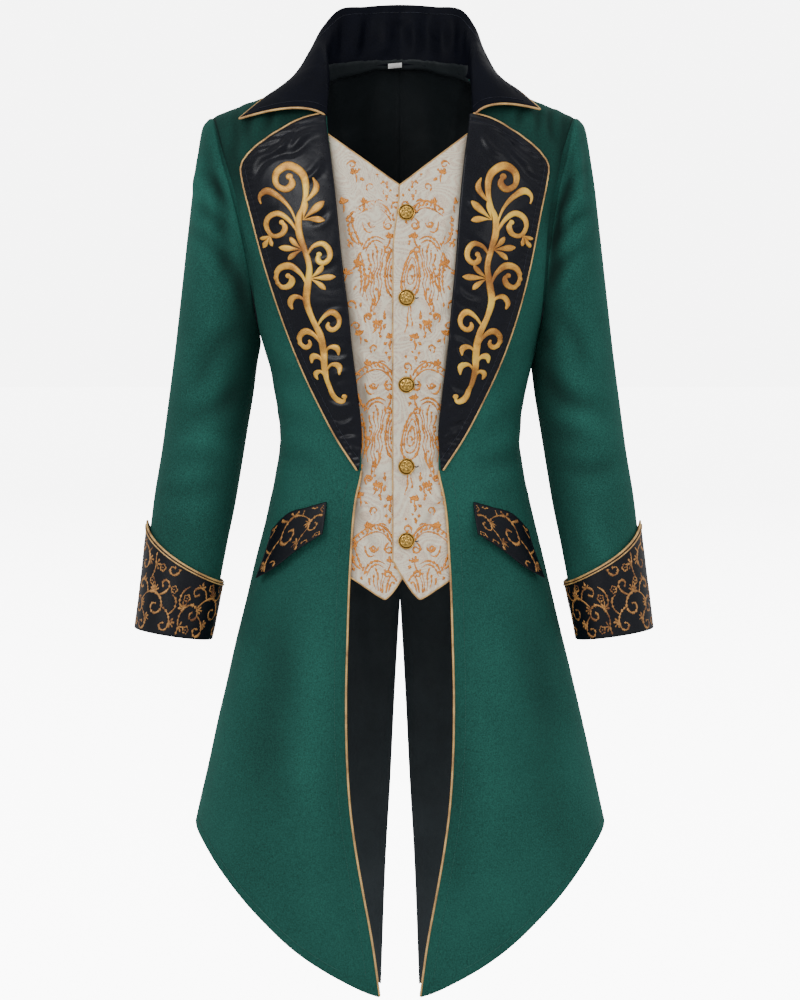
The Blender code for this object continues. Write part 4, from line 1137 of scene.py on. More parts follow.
def vest_repeat():
    """One repeat of the vest's woven pattern, 187 mm high, x from the closing out to the front.

    An arched band with a dashed middle, a tall seed shape with inner rings beside the closing, long
    waving stems, hanging leaves and sprigs of flecks.
    """
    share = shares(46)

    def arch(at, drop):
        return 0.012 + 0.05 * at, -0.02 - drop + 0.016 * np.sin(np.pi * at**0.75) - 0.006 * at**2

    drawn = []
    for drop, wide in ((0, 0.0013), (0.008, 0.001)):
        drawn.append(np.stack([*arch(share, drop), wide * (0.78 + 0.22 * np.sin(16 * share + drop))], 1))
    for at in np.linspace(0.08, 0.94, 10):
        drawn.append(curl(*arch(at, 0.0058), 62 - 30 * at, 0.005, 10, 1, 0.0011, 1))
    drawn += through(VEST_LEAVES)
    drawn += curls(VEST_TENDRILS)
    turn = np.linspace(0, 2 * np.pi, 72)
    for size, wide in ((1, 0.0014), (0.72, 0.0009), (0.42, 0.0009)):
        x = 0.01 + size * (0.01 * np.cos(turn) * (1 - 0.34 * np.sin(turn)) + 0.0024 * np.sin(turn))
        y = -0.09 + 0.027 * size * np.sin(turn)
        drawn.append(np.stack([x, y, wide * (0.8 + 0.2 * np.cos(7 * turn))], 1))
    drawn += curls(VEST_SEED_CURLS)
    for place, first, last, spread, phase, wide in VEST_STEMS:
        y = np.linspace(first, last, 60)
        wave = 0.0016 * np.sin(132 * y + phase) + 0.0008 * np.sin(330 * y)
        bend = place + spread * (y - first) ** 2 * 0.4 + wave
        drawn.append(np.stack([bend, y, wide * (0.7 + 0.3 * np.sin(210 * y + phase))], 1))
    drawn += through(VEST_BLADES)
    drawn += curls(VEST_LOW_TENDRILS)
    for x, y, heading in SPRIGS:
        for k, lean in enumerate((-64, -26, 16, 54)):
            drawn.append(curl(x, y, heading + lean, 0.0062 + 0.0014 * (k % 2), 24, 1, 0.0016, 1.3))
        drawn.append(curl(x, y, heading + 180, 0.011, 40, 1.2, 0.0009, 0.9))
    for x, y, heading in FLECKS:
        drawn.append(curl(x, y, heading, 0.0058, 30, 1, 0.0015, 1.2))
    for k in range(FLECK_COUNT):
        x, y = 0.004 + 0.062 * (0.618 * k % 1), -VEST_REPEAT * ((0.3819 * k + 0.11 * (k % 3)) % 1)
        long = 0.0036 + 0.0024 * (0.77 * k % 1)
        drawn.append(curl(x, y, 90 + 37 * np.sin(5 * k), long, 40, 1, 0.0012, 1.1))
    return drawn


def vine_repeat():
    """One repeat of the cuff's and flap's gold vine, 92 mm along and 68 mm high: scrolls, tufts and roses."""
    drawn = through(VINE_LINES)
    for x, y, heading, count, length in TUFTS:
        drawn += fan(x, y, heading, 50, count, length, 0.0016)
    turn = np.linspace(0, 2 * np.pi, 40)
    ring = 0.004 * (1 + 0.16 * np.cos(5 * turn))
    for x, y in ROSES:
        drawn.append(np.stack([x + ring * np.cos(turn), y + ring * np.sin(turn), 0.001 + 0 * turn], 1))
        drawn.append(dot(x, y, 0.0013))
    return drawn + dots("""
23.8 29.8 1.6, 60 34.7 1.6, 76.2 13.8 1.6, 37 11.2 1.6, 30.2 51.2 1.6, 69 56.2 1.6
""")


# Materials


def put(tree, kind, sockets=None, **settings):
    """A shader node with its settings. A socket given as another's output is linked, else it is set."""
    made = tree.nodes.new(kind)
    for name, value in settings.items():
        setattr(made, name, value)
    for key, value in (sockets or {}).items():
        if isinstance(value, bpy.types.NodeSocket):
            tree.links.new(value, made.inputs[key])
        else:
            made.inputs[key].default_value = value
    return made


def reckon(tree, operation, *values, **settings):
    """The output of a Math node over other outputs or numbers."""
    return put(tree, "ShaderNodeMath", dict(enumerate(values)), operation=operation, **settings).outputs[0]


def group(name, inputs, outputs):
    """A new node group with float sockets, bar those named Vector, and its two end nodes."""
    tree = bpy.data.node_groups.new(name, "ShaderNodeTree")
    for socket in inputs:
        kind = "NodeSocketVector" if socket == "Vector" else "NodeSocketFloat"
        tree.interface.new_socket(socket, in_out="INPUT", socket_type=kind)
    for socket in outputs:
        tree.interface.new_socket(socket, in_out="OUTPUT", socket_type="NodeSocketFloat")
    return tree, tree.nodes.new("NodeGroupInput").outputs, tree.nodes.new("NodeGroupOutput").inputs


def cloth_variation():
    """Shade: a broad and a fine noise about one half, each by its own amount. Grain: the fine noise."""
    inputs = ("Vector", "Broad Scale", "Fine Scale", "Broad", "Fine")
    tree, given, result = group("cloth_variation", inputs, ("Shade", "Grain"))
    total = 0.5
    for scale, amount, detail in (("Broad Scale", "Broad", 3), ("Fine Scale", "Fine", 2)):
        sockets = {"Vector": given["Vector"], "Scale": given[scale], "Detail": detail}
        noise = put(tree, "ShaderNodeTexNoise", sockets).outputs["Fac"]
        centred = reckon(tree, "SUBTRACT", noise, 0.5)
        total = reckon(tree, "MULTIPLY_ADD", centred, given[amount], total, use_clamp=True)
    tree.links.new(total, result["Shade"])
    tree.links.new(noise, result["Grain"])
    return tree


def thread_weave():
    """Weave: the product of two sines of the place along two slanting directions, from 0 to 1."""
    tree, given, result = group("thread_weave", ("Vector", "Threads", "Slant"), ("Weave",))
    parts = put(tree, "ShaderNodeSeparateXYZ", {0: given["Vector"]}).outputs
    level = reckon(tree, "ADD", parts["X"], parts["Y"])
    sines = []
    for operation, part in (("ADD", given["Slant"]), ("SUBTRACT", 1)):
        mixed = reckon(tree, operation, level, reckon(tree, "MULTIPLY", parts["Z"], part))
        sines.append(reckon(tree, "SINE", reckon(tree, "MULTIPLY", mixed, given["Threads"])))
    weave = reckon(tree, "MULTIPLY_ADD", reckon(tree, "MULTIPLY", *sines), 0.5, 0.5)
    tree.links.new(weave, result["Weave"])
    return tree


def shade(colour, factor):
    return tuple(min(float(part) * factor, 1) for part in colour[:3])


class Finish:
    """One Principled material being built on the piece's own coordinates."""

    variation = weave = None

    def __init__(self, name, roughness, metallic=0, level=0.5, **sockets):
        self.material = bpy.data.materials.new(name)
        self.material.use_nodes = True
        self.tree = self.material.node_tree
        self.shader = self.tree.nodes["Principled BSDF"]
        self.place = self.put("ShaderNodeTexCoord").outputs["Object"]
        self.shader.inputs["Specular IOR Level"].default_value = level
        for key, value in {"roughness": roughness, "metallic": metallic, **sockets}.items():
            self.shader.inputs[key.replace("_", " ").title()].default_value = value

    def put(self, kind, sockets=None, **settings):
        return put(self.tree, kind, sockets, **settings)

    def shared(self, made, *values):
        """A shared node group's outputs, on the piece's coordinates and with its other inputs in order."""
        sockets = dict(enumerate([self.place, *values]))
        return self.put("ShaderNodeGroup", sockets, node_tree=made).outputs.values()

    def varied(self, *amounts):
        """The unevenness of cloth and thread, as Shade and Grain: broad and fine scale, broad and fine."""
        return self.shared(self.variation, *amounts)

    def woven(self, threads, slant):
        return self.shared(self.weave, threads, slant)[0]

    def ramp(self, factor, *stops):
        """A colour ramp through stops of a place and a colour."""
        node = self.put("ShaderNodeValToRGB", {"Fac": factor})
        elements = node.color_ramp.elements
        for element, (at, colour) in ((elements[0], stops[0]), (elements[1], stops[-1])):
            element.position, element.color = at, (*colour, 1)
        for at, colour in stops[1:-1]:
            elements.new(at).color = (*colour, 1)
        return node.outputs["Color"]

    def tones(self, factor, colour, *stops):
        """A colour ramp through stops of a place and how light one colour is there."""
        return self.ramp(factor, *((at, shade(colour, light)) for at, light in stops))

    def coloured(self, unevenness, colour, *stops):
        """Colour the finish by its unevenness, and give that back as Shade and Grain."""
        tone, grain = self.varied(*unevenness)
        self.set("Base Color", self.tones(tone, colour, *stops))
        return tone, grain

    def noise(self, scale, detail=2, distortion=0):
        sockets = {"Vector": self.place, "Scale": scale, "Detail": detail, "Distortion": distortion}
        return self.put("ShaderNodeTexNoise", sockets).outputs["Fac"]

    def span(self, value, low, high, first, last):
        sockets = {"Value": value, "From Min": low, "From Max": high, "To Min": first, "To Max": last}
        return self.put("ShaderNodeMapRange", sockets).outputs["Result"]

    def mix(self, factor, first, second, blend="MIX"):
        first, second = (v if isinstance(v, bpy.types.NodeSocket) else (*v, 1) for v in (first, second))
        settings = {"data_type": "RGBA", "blend_type": blend}
        return self.put("ShaderNodeMix", {0: factor, 6: first, 7: second}, **settings).outputs[2]

    def marked(self, name):
        """A number that the piece's points carry."""
        return self.put("ShaderNodeAttribute", attribute_name=name).outputs["Fac"]

    def bump(self, *layers):
        """Bumps laid over each other, each a height, a strength and a depth in metres."""
        sockets = {}
        for height, strength, depth in layers:
            sockets |= {"Height": height, "Strength": strength, "Distance": depth}
            sockets["Normal"] = self.put("ShaderNodeBump", sockets).outputs["Normal"]
        self.set("Normal", sockets["Normal"])

    def set(self, key, output):
        self.tree.links.new(output, self.shader.inputs[key])


def finishes(colours):
    """Every finish of the coat, by name."""
    Finish.variation, Finish.weave = cloth_variation(), thread_weave()
    made = {}

    shading = made["velvet"] = Finish("green_velvet", 0.92, level=0.18, sheen_weight=0.2, sheen_roughness=0.4)
    shading.shader.inputs["Sheen Tint"].default_value = (*shade(colours.velvet, 3.4), 1)
    tone, grain = shading.varied(9, 680, 0.6, 1.5)
    green = shading.tones(tone, colours.velvet, (0.12, 0.72), (0.5, 1.24), (0.9, 1.72))
    # Painted shade: a dark green mixed in as far as each piece marks, in fold hollows, by seams, over the
    # shoulders and on the sleeves' inner sides
    shading.set("Base Color", shading.mix(shading.marked("crushed"), green, shade(colours.velvet, 0.16)))
    shading.bump((grain, 0.5, 0.0007), (shading.noise(90, 3), 0.22, 0.0014), (shading.noise(16), 0.3, 0.006))

    for key, name, shine, level in (
        ("satin", "black_satin", 0.25, 0.2),
        ("dull_satin", "dull_black_satin", 0.48, 0.05),
    ):
        satin = made[key] = Finish(name, shine, level=level)
        tone, _ = satin.coloured((26, 700, 0.9, 1.4), colours.satin, (0.2, 0.75), (0.85, 1.35))
        satin.set("Roughness", satin.span(tone, 0.2, 0.8, shine, shine + 0.12))
        satin.bump((satin.noise(15, 2, 1.2), 0.4, 0.006), (satin.woven(9000, 0.5), 0.15, 0.0001))

    lining = made["lining"] = Finish("black_lining", 0.5, level=0.16)
    tone, _ = lining.varied(18, 800, 0.8, 0.5)
    # Painted shade by height: the lining is darker up at the neck, inside the coat, and lighter down in the
    # tails
    height = lining.put("ShaderNodeSeparateXYZ", {"Vector": lining.place}).outputs["Z"]
    below = lining.span(height, -0.2, -0.62, 0, 1)
    shade_by_height = lining.mix(below, shade(colours.lining, 0.8), shade(colours.lining, 2.3))
    grey = lining.tones(tone, (1, 1, 1), (0.2, 0.55), (0.85, 1))
    lining.set("Base Color", lining.mix(1, shade_by_height, grey, "MULTIPLY"))
    lining.bump((lining.noise(24, 2, 0.8), 0.35, 0.003), (lining.woven(8000, 1), 0.12, 0.0001))

    silver = made["silver"] = Finish("silver_brocade", 0.5, sheen_weight=0.25, sheen_roughness=0.4)
    tone, _ = silver.varied(30, 620, 0.5, 1.3)
    ground = silver.tones(tone, colours.silver, (0.1, 0.62), (0.5, 0.92), (0.9, 1.24))
    rings = reckon(silver.tree, "MULTIPLY", silver.noise(15, 1.5, 0.6), 190)
    lines = silver.span(reckon(silver.tree, "SINE", rings), -0.5, 0.9, 0, 0.6)
    woven = silver.mix(lines, ground, shade(colours.silver, 1.4))
    # Painted shadow: a dark grey mixed in where the vest marks it, beside and under the lapels and in its
    # folds' hollows
    silver.set("Base Color", silver.mix(silver.marked("crushed"), woven, shade(colours.silver, 0.3)))
    silver.set("Roughness", silver.span(lines, 0, 0.5, 0.56, 0.4))
    pile = (silver.noise(60, 3, 0.8), 0.22, 0.0012)
    silver.bump((silver.woven(4200, 1), 0.3, 0.0002), (lines, 0.3, 0.0003), pile)

    motif = made["motif"] = Finish("orange_gold_thread", 0.5, 0.15)
    stops = (0.1, 0.55), (0.5, 1), (0.95, 1.3)
    _, grain = motif.coloured((120, 900, 1.2, 1.6), colours.motif, *stops)
    motif.bump((grain, 0.5, 0.0003))

    damask = made["damask"] = Finish("black_damask", 0.44, level=0.22)
    damask.coloured((30, 900, 0.7, 0.7), colours.satin, (0.2, 0.72), (0.9, 1.3))
    damask.bump((damask.woven(6200, 1), 0.22, 0.0002), (damask.noise(40), 0.2, 0.0015))

    for name, key, rough, metallic, broad, deep in (
        ("vine_thread", "vine", 0.5, 0.2, 90, 2.4),
        ("gold_embroidery", "gold", 0.4, 0.3, 30, 2.6),
        ("gold_cord", "cord", 0.44, 0.25, 60, 1.5),
    ):
        thread = made[key] = Finish(name, rough, metallic)
        colour = getattr(colours, key)
        brown = tuple(part * share for part, share in zip(colour, (0.42, 0.32, 0.4)))
        tone, grain = thread.varied(broad, 1300, deep, 0.9)
        stops = (0.1, brown), (0.5, shade(colour, 1)), (0.9, shade(colour, 1.5))
        thread.set("Base Color", thread.ramp(tone, *stops))
        thread.bump((thread.woven(7000, 0.2), 0.35, 0.0002), (grain, 0.35, 0.0002))

    metal = made["metal"] = Finish("gilt_metal", 0.3, 1)
    tone, grain = metal.varied(180, 1500, 1, 0.8)
    # Painted shade: the gilt turns nearly black where the button marks its hollows
    low = metal.marked("recess")
    bright = metal.tones(tone, colours.metal, (0.2, 0.8), (0.8, 1.15))
    metal.set("Base Color", metal.mix(low, bright, shade(colours.metal, 0.05)))
    metal.set("Roughness", metal.span(low, 0, 1, 0.15, 0.42))
    metal.bump((grain, 0.12, 0.0002))

    for name, colour, light in (("black_thread", colours.satin, 7), ("green_thread", colours.velvet, 1.9)):
        thread = made[name] = Finish(name, 0.62)
        _, grain = thread.coloured((90, 1800, 0.8, 1), colour, (0.2, 0.7), (0.8, light))
        thread.bump((grain, 0.3, 0.0002))

    white = made["white"] = Finish("white_tab", 0.72)
    tone, _ = white.varied(60, 1100, 0.3, 0.6)
    white.set("Base Color", white.ramp(tone, (0.2, (0.62, 0.62, 0.6)), (0.8, (0.9, 0.9, 0.88))))
    white.bump((white.woven(5200, 1), 0.4, 0.0002))
    return {key: each.material for key, each in made.items()}


def finish(name):
    """A finish by its key, made with the others when the first is asked for."""
    scene = bpy.context.scene
    if f"finish_{name}" not in scene:
        for each, material in finishes(scene.tailcoat_colours).items():
            scene[f"finish_{each}"] = material
    return scene[f"finish_{name}"]


# Pieces

SIDES = ((1, "_left"), (-1, "_right"))


# The cutting list: each cloth piece's node, slot, outer and inner finish, the rectangle that it is cut from
# and its own flat area in metres, how it is held and what it rests on
CUTS = {
    "velvet_front": ("front", "green_velvet", "velvet lining", 0.27, 1.09, 0.172, "hung", "velvet_back"),
    "velvet_back": ("back", "green_velvet", "velvet", 0.42, 1.14, 0.238, "hung", "velvet_front"),
    "lining_back": ("back_lining", "black_lining", "lining", 0.42, 1.14, 0.236, "hung", "velvet_back"),
    "velvet_sleeve": (
        "sleeve", "green_velvet", "velvet lining", 0.42, 0.66, 0.16, "hung", "velvet_front velvet_back",
    ),
    "damask_cuff": (
        "cuff", "black_gold_damask", "damask lining", 0.4, 0.125, 0.0276, "hung", "velvet_sleeve",
    ),
    "satin_lapel": ("lapel", "black_satin", "satin", 0.145, 0.42, 0.031, "laid", "velvet_front"),
    "satin_collar": (
        "collar", "black_satin", "dull_satin", 0.5, 0.115, 0.032, "folded",
        "velvet_back_left velvet_back_right",
    ),
    "brocade_vest": (
        "vest", "silver_brocade", "silver lining", 0.125, 0.54, 0.0478, "hung", "velvet_front",
    ),
    "damask_flap": (
        "flap", "black_gold_damask", "damask lining", 0.078, 0.075, 0.0046, "hung", "velvet_front",
    ),
}


def piece(kind, end, outer, inner, ring=False, shading=None):
    """A cloth piece of the cutting list, with `end` after its name, and the painted shade that its finish
    reads, where one is given.
    """
    node, slot, coats, width, length, area, held, under = CUTS[kind]
    made = cloth(kind + end, outer, inner, [finish(coat) for coat in coats.split()], ring)
    if shading is not None:
        mark(made, "crushed", np.ravel(shading))
    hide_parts(node + end)
    under = [each + end for each in under.split()]


def edging(part, end, edge, inside, square, closed=False):
    """The gold cord sewn along a part's edge, thinner on the vest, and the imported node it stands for."""
    sizes = bpy.context.scene.tailcoat_sizes
    radius = sizes.vest_cord_radius if part == "vest" else sizes.cord_radius
    made = cord(f"{part}_cord{end}", beside(edge, inside, radius + CORD_GAP, closed), radius, square, closed)
    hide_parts(f"{part}_piping{end}")


def crushed(relief, seam):
    """How much painted shade darkens velvet: less on a fold's ridge, which is painted lighter, more in its
    hollow and close to a seam.
    """
    return np.clip(SHADE_EVEN - SHADE_GAIN * relief + 0.25 * bell(seam, 0, 0.0018), 0, 1)


def front_shade(z):
    """How much painted shade a front's velvet gets at each height: more over the shoulder, under the collar's
    wings, and less at the waist, which is painted lighter.
    """
    return SHOULDER_SHADE * ease(-0.19, -0.08, z) - WAIST_LIGHT * bell(z, -0.42, 0.15)


def plain_panel(side, is_front):
    """A panel's fine grid: the level and turn of its points, and where they lie without folds."""
    level, turn = panel_grid(side, is_front, FINE)
    return level, turn, skin(level, turn, side)


def apart(plain, line):
    """How far each point of a grid lies from the point of one of its border lines in its row or column."""
    return np.linalg.norm(plain - line, axis=-1)


def panel_relief(side, is_front, plain):
    """A panel's folds, seams' dips and topstitching's grooves, and how far each point is from a seam."""
    x, z = np.abs(plain[..., 0]), plain[..., 2]
    edge, seam = apart(plain, plain[:, :1]), apart(plain, plain[:, -1:])
    rows = (FRONT_FOLDS if is_front else BACK_FOLDS)[side]
    relief = folds(x, z, rows) + edge_dip(seam, SEAM_ROUND, SEAM_DIP)
    relief -= STITCH_GROOVE * bell(apart(plain, plain[:1]), HEM_TOPSTITCH, STITCH_GROOVE_WIDE)
    if is_front:
        relief -= STITCH_GROOVE * bell(edge, FRONT_TOPSTITCH, STITCH_GROOVE_WIDE)
        return relief + nap_waves(side * x, z) * ease(0, 0.05, edge), seam
    relief += edge_dip(edge, SEAM_ROUND, SEAM_DIP) * ease(VENT_TOP - 0.02, VENT_TOP, z)
    return relief + nap_waves(-side * x, z + 0.4) * ease(0, 0.03, edge), np.minimum(seam, edge)


def panel_face(side, is_front, lift=0):
    """A panel's face with its folds, moved out by `lift`."""
    level, turn, plain = plain_panel(side, is_front)
    return skin(level, turn, side, panel_relief(side, is_front, plain)[0] + lift)


def lining_folds(side):
    """The back lining's own folds inwards: long soft waves below, and a gathered band at the neck."""
    plain = plain_panel(side, False)[2]
    x, z = np.abs(plain[..., 0]), plain[..., 2]
    long = 0.5 + 0.5 * np.sin(150 * x + 5 * np.sin(4 * z + side) + 2.2 * side)
    top = apart(plain, plain[-1:])
    gathers = 0.5 + 0.5 * np.sin(420 * x + 3 * np.sin(160 * x + side))
    depth = 0.0024 * long * ease(-0.5, -0.62, z) + 0.0018 * long * ease(-0.34, -0.2, z)
    return -(depth + LINING_GATHER * gathers * bell(top, 0, 0.022) * ease(0, 0.004, top))


def turned_up(grid, side, lift):
    """A lining's grid carried on above the neck seam in four rows that cover the collar's foot, gathered."""
    level, turn = panel_grid(side, False, FINE)
    line = skin(level[-1], turn[-1], side, NECK_LIFT)
    x, last = line[:, 0], grid[-1]
    inward = unit(np.array([0, 0.02, 0]) - line * np.array([1, 1, 0]))
    ripple = 0.5 + 0.5 * np.sin(430 * x + 2.5 * np.sin(170 * x))
    at_neck = ease(NECK_X + 0.014, NECK_X + 0.005, np.abs(x))[:, None]
    target = line + inward * (COLLAR_WALL / 2 + TURN_UP_CLEAR + lift + LINING_GATHER * ripple[:, None])
    target[:, 2] += TURN_UP + 0.01 * (x / NECK_X) ** 2 + LINING_GATHER * ripple
    target = last + np.array([0, 0, 0.0004]) + (target - last) * at_neck
    return join([grid, last + (target - last) * shares(5)[1:, None, None]])


class TailcoatMaker:
    """What the operators share: they can be undone, and start in object mode."""

    bl_options = {"REGISTER", "UNDO"}

    @classmethod
    def poll(cls, context):
        return context.mode == "OBJECT"


class COAT_OT_fronts(TailcoatMaker, bpy.types.Operator):
    """Make the two velvet fronts and the cord down each front edge"""

    bl_idname = "coat.fronts"
    bl_label = "Fronts"

    def execute(self, context):
        for side, name in SIDES:
            outer, inner = panel_face(side, True), panel_face(side, True, -VELVET)
            plain = plain_panel(side, True)[2]
            # Painted shade in the front's fold hollows and by its seams, darker over the shoulders and
            # lighter at the waist
            shading = crushed(*panel_relief(side, True, plain)) + front_shade(plain[..., 2])
            piece("velvet_front", name, outer, inner, shading=np.clip(shading, 0, 1))
            below = ((outer + inner) / 2)[: FINE[1] + 1]
            edging("front", name, below[:, 0], below[:, 1], (0, -1, 0))
        return {"FINISHED"}


class COAT_OT_backs(TailcoatMaker, bpy.types.Operator):
    """Make the two velvet backs with their tails, and the lining behind the neck and fronts"""

    bl_idname = "coat.backs"
    bl_label = "Backs"

    def execute(self, context):
        for side, name in SIDES:
            outer, inner = panel_face(side, False), panel_face(side, False, -VELVET)
            # Painted shade in the back's fold hollows and by its seam and vent, lighter on the folds' ridges
            shading = crushed(*panel_relief(side, False, plain_panel(side, False)[2]))
            piece("velvet_back", name, outer, inner, shading=shading)
            face = lining_folds(side) - VELVET - SEAM_GAP
            walls = (turned_up(panel_face(side, False, face - wall), side, wall) for wall in (0, LINING))
            piece("lining_back", name, *walls)
        return {"FINISHED"}


def sleeve_relief(row, angle, side):
    """A sleeve's folds by where its plain surface lies, fading out where it faces the body."""
    plain = sleeve_face(row, angle, side)
    x, z = np.abs(plain[..., 0] + SLEEVE_SHIFT), plain[..., 2]
    sine = np.sin(angle)
    relief = folds(x, z, SLEEVE_FRONT_FOLDS[side]) * ease(0, 0.35, sine)
    relief += folds(x, z, SLEEVE_BACK_FOLDS[side]) * ease(0, 0.35, -sine)
    relief += nap_waves(side * x + 0.1, z) * ease(0, 0.5, np.abs(sine))
    if side > 0:
        relief += UNDERARM_SWELL * bell(z, UNDERARM_REST, 0.013) * ease(0.75, 1, -np.cos(angle))
    return relief - SEAM_DIP * (1 - ease(0, 0.45, row))


def allowance(angle, side, deep):
    """Two rows of the sleeve's seam allowance, turned in under the armhole's edge."""
    up = (1 + np.cos(angle)) / 2
    rows = []
    for share in (1, 0.45):
        turn = follow(ARMHOLE, "turn", up) - ALLOWANCE * share
        turn = np.where(np.sin(angle) < 0, 1 - turn, turn)
        level = np.minimum(up, 1 - 0.012 * share)
        rows.append(skin(level, turn, side, -deep))
    return np.stack(rows)


class COAT_OT_sleeves(TailcoatMaker, bpy.types.Operator):
    """Make the two velvet sleeves, open at the armhole and wrist"""

    bl_idname = "coat.sleeves"
    bl_label = "Sleeves"

    def execute(self, context):
        rows = join([shares(14)[:-1] ** 1.3, np.linspace(1, SLEEVE["row"][-1], 132)])
        row, angle = np.meshgrid(rows, circle(104), indexing="ij")
        for side, name in SIDES:
            relief = sleeve_relief(row, angle, side)
            walls = []
            for deep, wall in ((0, 0), (ALLOWANCE_WALL, VELVET)):
                face = sleeve_skin(row, angle, side, relief - wall)
                walls.append(join([allowance(angle[0], side, ALLOWANCE_DEEP + deep), face]))
            # Painted shade: darker on the sleeve's inner side, which faces the body, from below the armhole
            # to the forearm, in its folds' hollows and by the armhole seam
            body = 0.52 * ease(-0.15, 0.85, -np.cos(angle)) * ease(0, 2, row) * (1 - ease(7, 12, row))
            shading = np.clip(crushed(SLEEVE_SHADE_GAIN * relief, 0.03 * row) + body, 0, 1)
            piece("velvet_sleeve", name, *walls, ring=True, shading=join([shading[:2], shading]))
        return {"FINISHED"}


def cuff_top(at):
    """The sleeve's row at which the cuff's upper edge lies: highest at the outer side."""
    return CUFF_BOTTOM - CUFF_LOW - CUFF_PEAK * (1 - np.abs(np.sin(at / 2)))


def cuff_lift(at, share, side):
    """How far the cuff's inner face lies off the sleeve's: its flare and a faint wave."""
    wave = CUFF_WAVE * np.sin(3 * at + 2.2 * share + side) * ease(0, 0.3, share)
    return CUFF_LIFT + CUFF_FLARE * share + wave


class COAT_OT_cuffs(TailcoatMaker, bpy.types.Operator):
    """Make the two damask cuffs with their gold vine and double cord"""

    bl_idname = "coat.cuffs"
    bl_label = "Cuffs"

    def execute(self, context):
        radius, square = context.scene.tailcoat_sizes.cord_radius, (0.3, 0, -1)
        angle = circle(132)[None, :]
        share = shares(44)[:, None]
        rows = CUFF_BOTTOM + (cuff_top(angle) - CUFF_BOTTOM) * share
        drawn = []
        for k in range(4):
            for along, up in ((k, 0), (k + 0.5, VINE_HIGH)):
                drawn += moved(vine_repeat(), along * VINE_LONG, up)

        def height(x, y):
            """The share of the cuff's height at y metres above its bottom."""
            return y / CUFF_ROW_HEIGHT / (CUFF_BOTTOM - cuff_top(x / CUFF_ROUND))

        drawn = kept(roughened(drawn, 0.8, 0.22), lambda x, y: (height(x, y) > 0.02) & (height(x, y) < 0.94))
        for side, name in SIDES:
            face = cuff_lift(angle, share, side)
            inner, outer = (cuff_skin(rows, angle, side, face + wall) for wall in (0, CUFF_WALL))
            piece("damask_cuff", name, outer, inner, ring=True)

            def place(x, y, high, side=side):
                at, share = x / CUFF_ROUND, np.clip(height(x, y), 0, 1)
                lift = cuff_lift(at, share, side) + CUFF_WALL + high
                return cuff_skin(CUFF_BOTTOM - y / CUFF_ROW_HEIGHT, at, side, lift)

            pattern("cuff_vine" + name, drawn, place, "vine")
            middle = (outer + inner) / 2
            edging("cuff", name, middle[-1], middle[-2], square, closed=True)
            low = cuff_skin(rows[-2], angle[0], side, face[-2] + CUFF_WALL + radius * 0.3)
            cord("cuff_second_cord" + name, low, radius * 0.6, square, closed=True)
        return {"FINISHED"}


def lapel_plane():
    """The lapel's fine grid of x and z, from the break up to the top edge and from the roll outwards."""
    run = shares(250)[:, None]
    across = shares(76)[None, :]
    low, high = BREAK_POINT, LAPEL_SIDE["z"][-1]
    out_z, in_z = low + (high - low) * run, low + (NOTCH - low) * run
    in_x = follow(FRONT_EDGE, "x", in_z) - ROLL_OUT + ROLL_KEEP
    x = in_x + (follow(LAPEL_SIDE, "x", out_z) - in_x) * across
    z = in_z + (out_z - in_z) * across
    return x, z + (follow(LAPEL_TOP, "z", x[-1]) - z[-1]) * ease(0.75, 1, run)


class COAT_OT_lapels(TailcoatMaker, bpy.types.Operator):
    """Make the two satin lapels, rolled over the front's edge, with their cord and embroidery"""

    bl_idname = "coat.lapels"
    bl_label = "Lapels"

    def execute(self, context):
        roll = np.linspace(ROLL_ANGLE, 0, 9, endpoint=False)[None, :]
        x, z = lapel_plane()
        grown = ease(0, 0.12, shares(len(x)))[:, None]
        for side, name in SIDES:
            lift = lapel_lift(x, z, side)
            first = lift[:, :1]
            walls = []
            for thick in (0, SATIN):
                radius = ROLL_RADIUS - thick
                turn_lift = first - ROLL_RADIUS + radius * np.cos(roll)
                turn_lift = first - thick + (turn_lift - first + thick) * grown
                all_x = join([x[:, :1] - radius * np.sin(roll) * grown, x], 1)
                all_z = join([z[:, :1] + 0 * roll, z], 1)
                all_lift = join([turn_lift, lift - thick], 1)
                walls.append(on_front(leaned(side, all_x, all_z), all_z, all_lift))
            piece("satin_lapel", name, *walls)
            middle = sum(walls) / 2
            edge = join([middle[:, -1], middle[-1, -2:9:-1]])
            inside = join([middle[:1, 9], middle[1:-1, -2], middle[-2:-1, -2], middle[-2, -2:9:-1]])
            edging("lapel", name, edge, inside, (0, -1, 0))

            def place(x, y, high, side=side):
                return on_front(leaned(side, x, y), y, lapel_lift(x, y, side) + high)

            high, gold = context.scene.tailcoat_sizes.embroidery_height, finish("gold")
            strokes("lapel_embroidery" + name, lapel_scroll(), place, high, RAISED, gold)
        return {"FINISHED"}


def collar_sheet():
    """The collar's middle surface, from the right wing round the neck to the left one, and its normals."""
    left, right = (collar_half(side, COLLAR_COUNT, COLLAR_STEPS) for side, _ in SIDES)
    sheet = join([right[:0:-1], (left[:1] + right[:1]) / 2, left[1:]])
    normal = unit(np.cross(np.gradient(sheet, axis=0), np.gradient(sheet, axis=1)))
    along = np.linspace(-1, 1, len(sheet))[:, None]
    up = shares(COLLAR_STEPS)
    soft = folds(along * COLLAR_LONG, up * COLLAR_HIGH, COLLAR_FOLDS)
    relief = COLLAR_FOLD_SHARE * soft * np.sin(np.pi * np.clip(up, 0, 1)) ** 0.6
    return sheet + normal * relief[..., None], normal


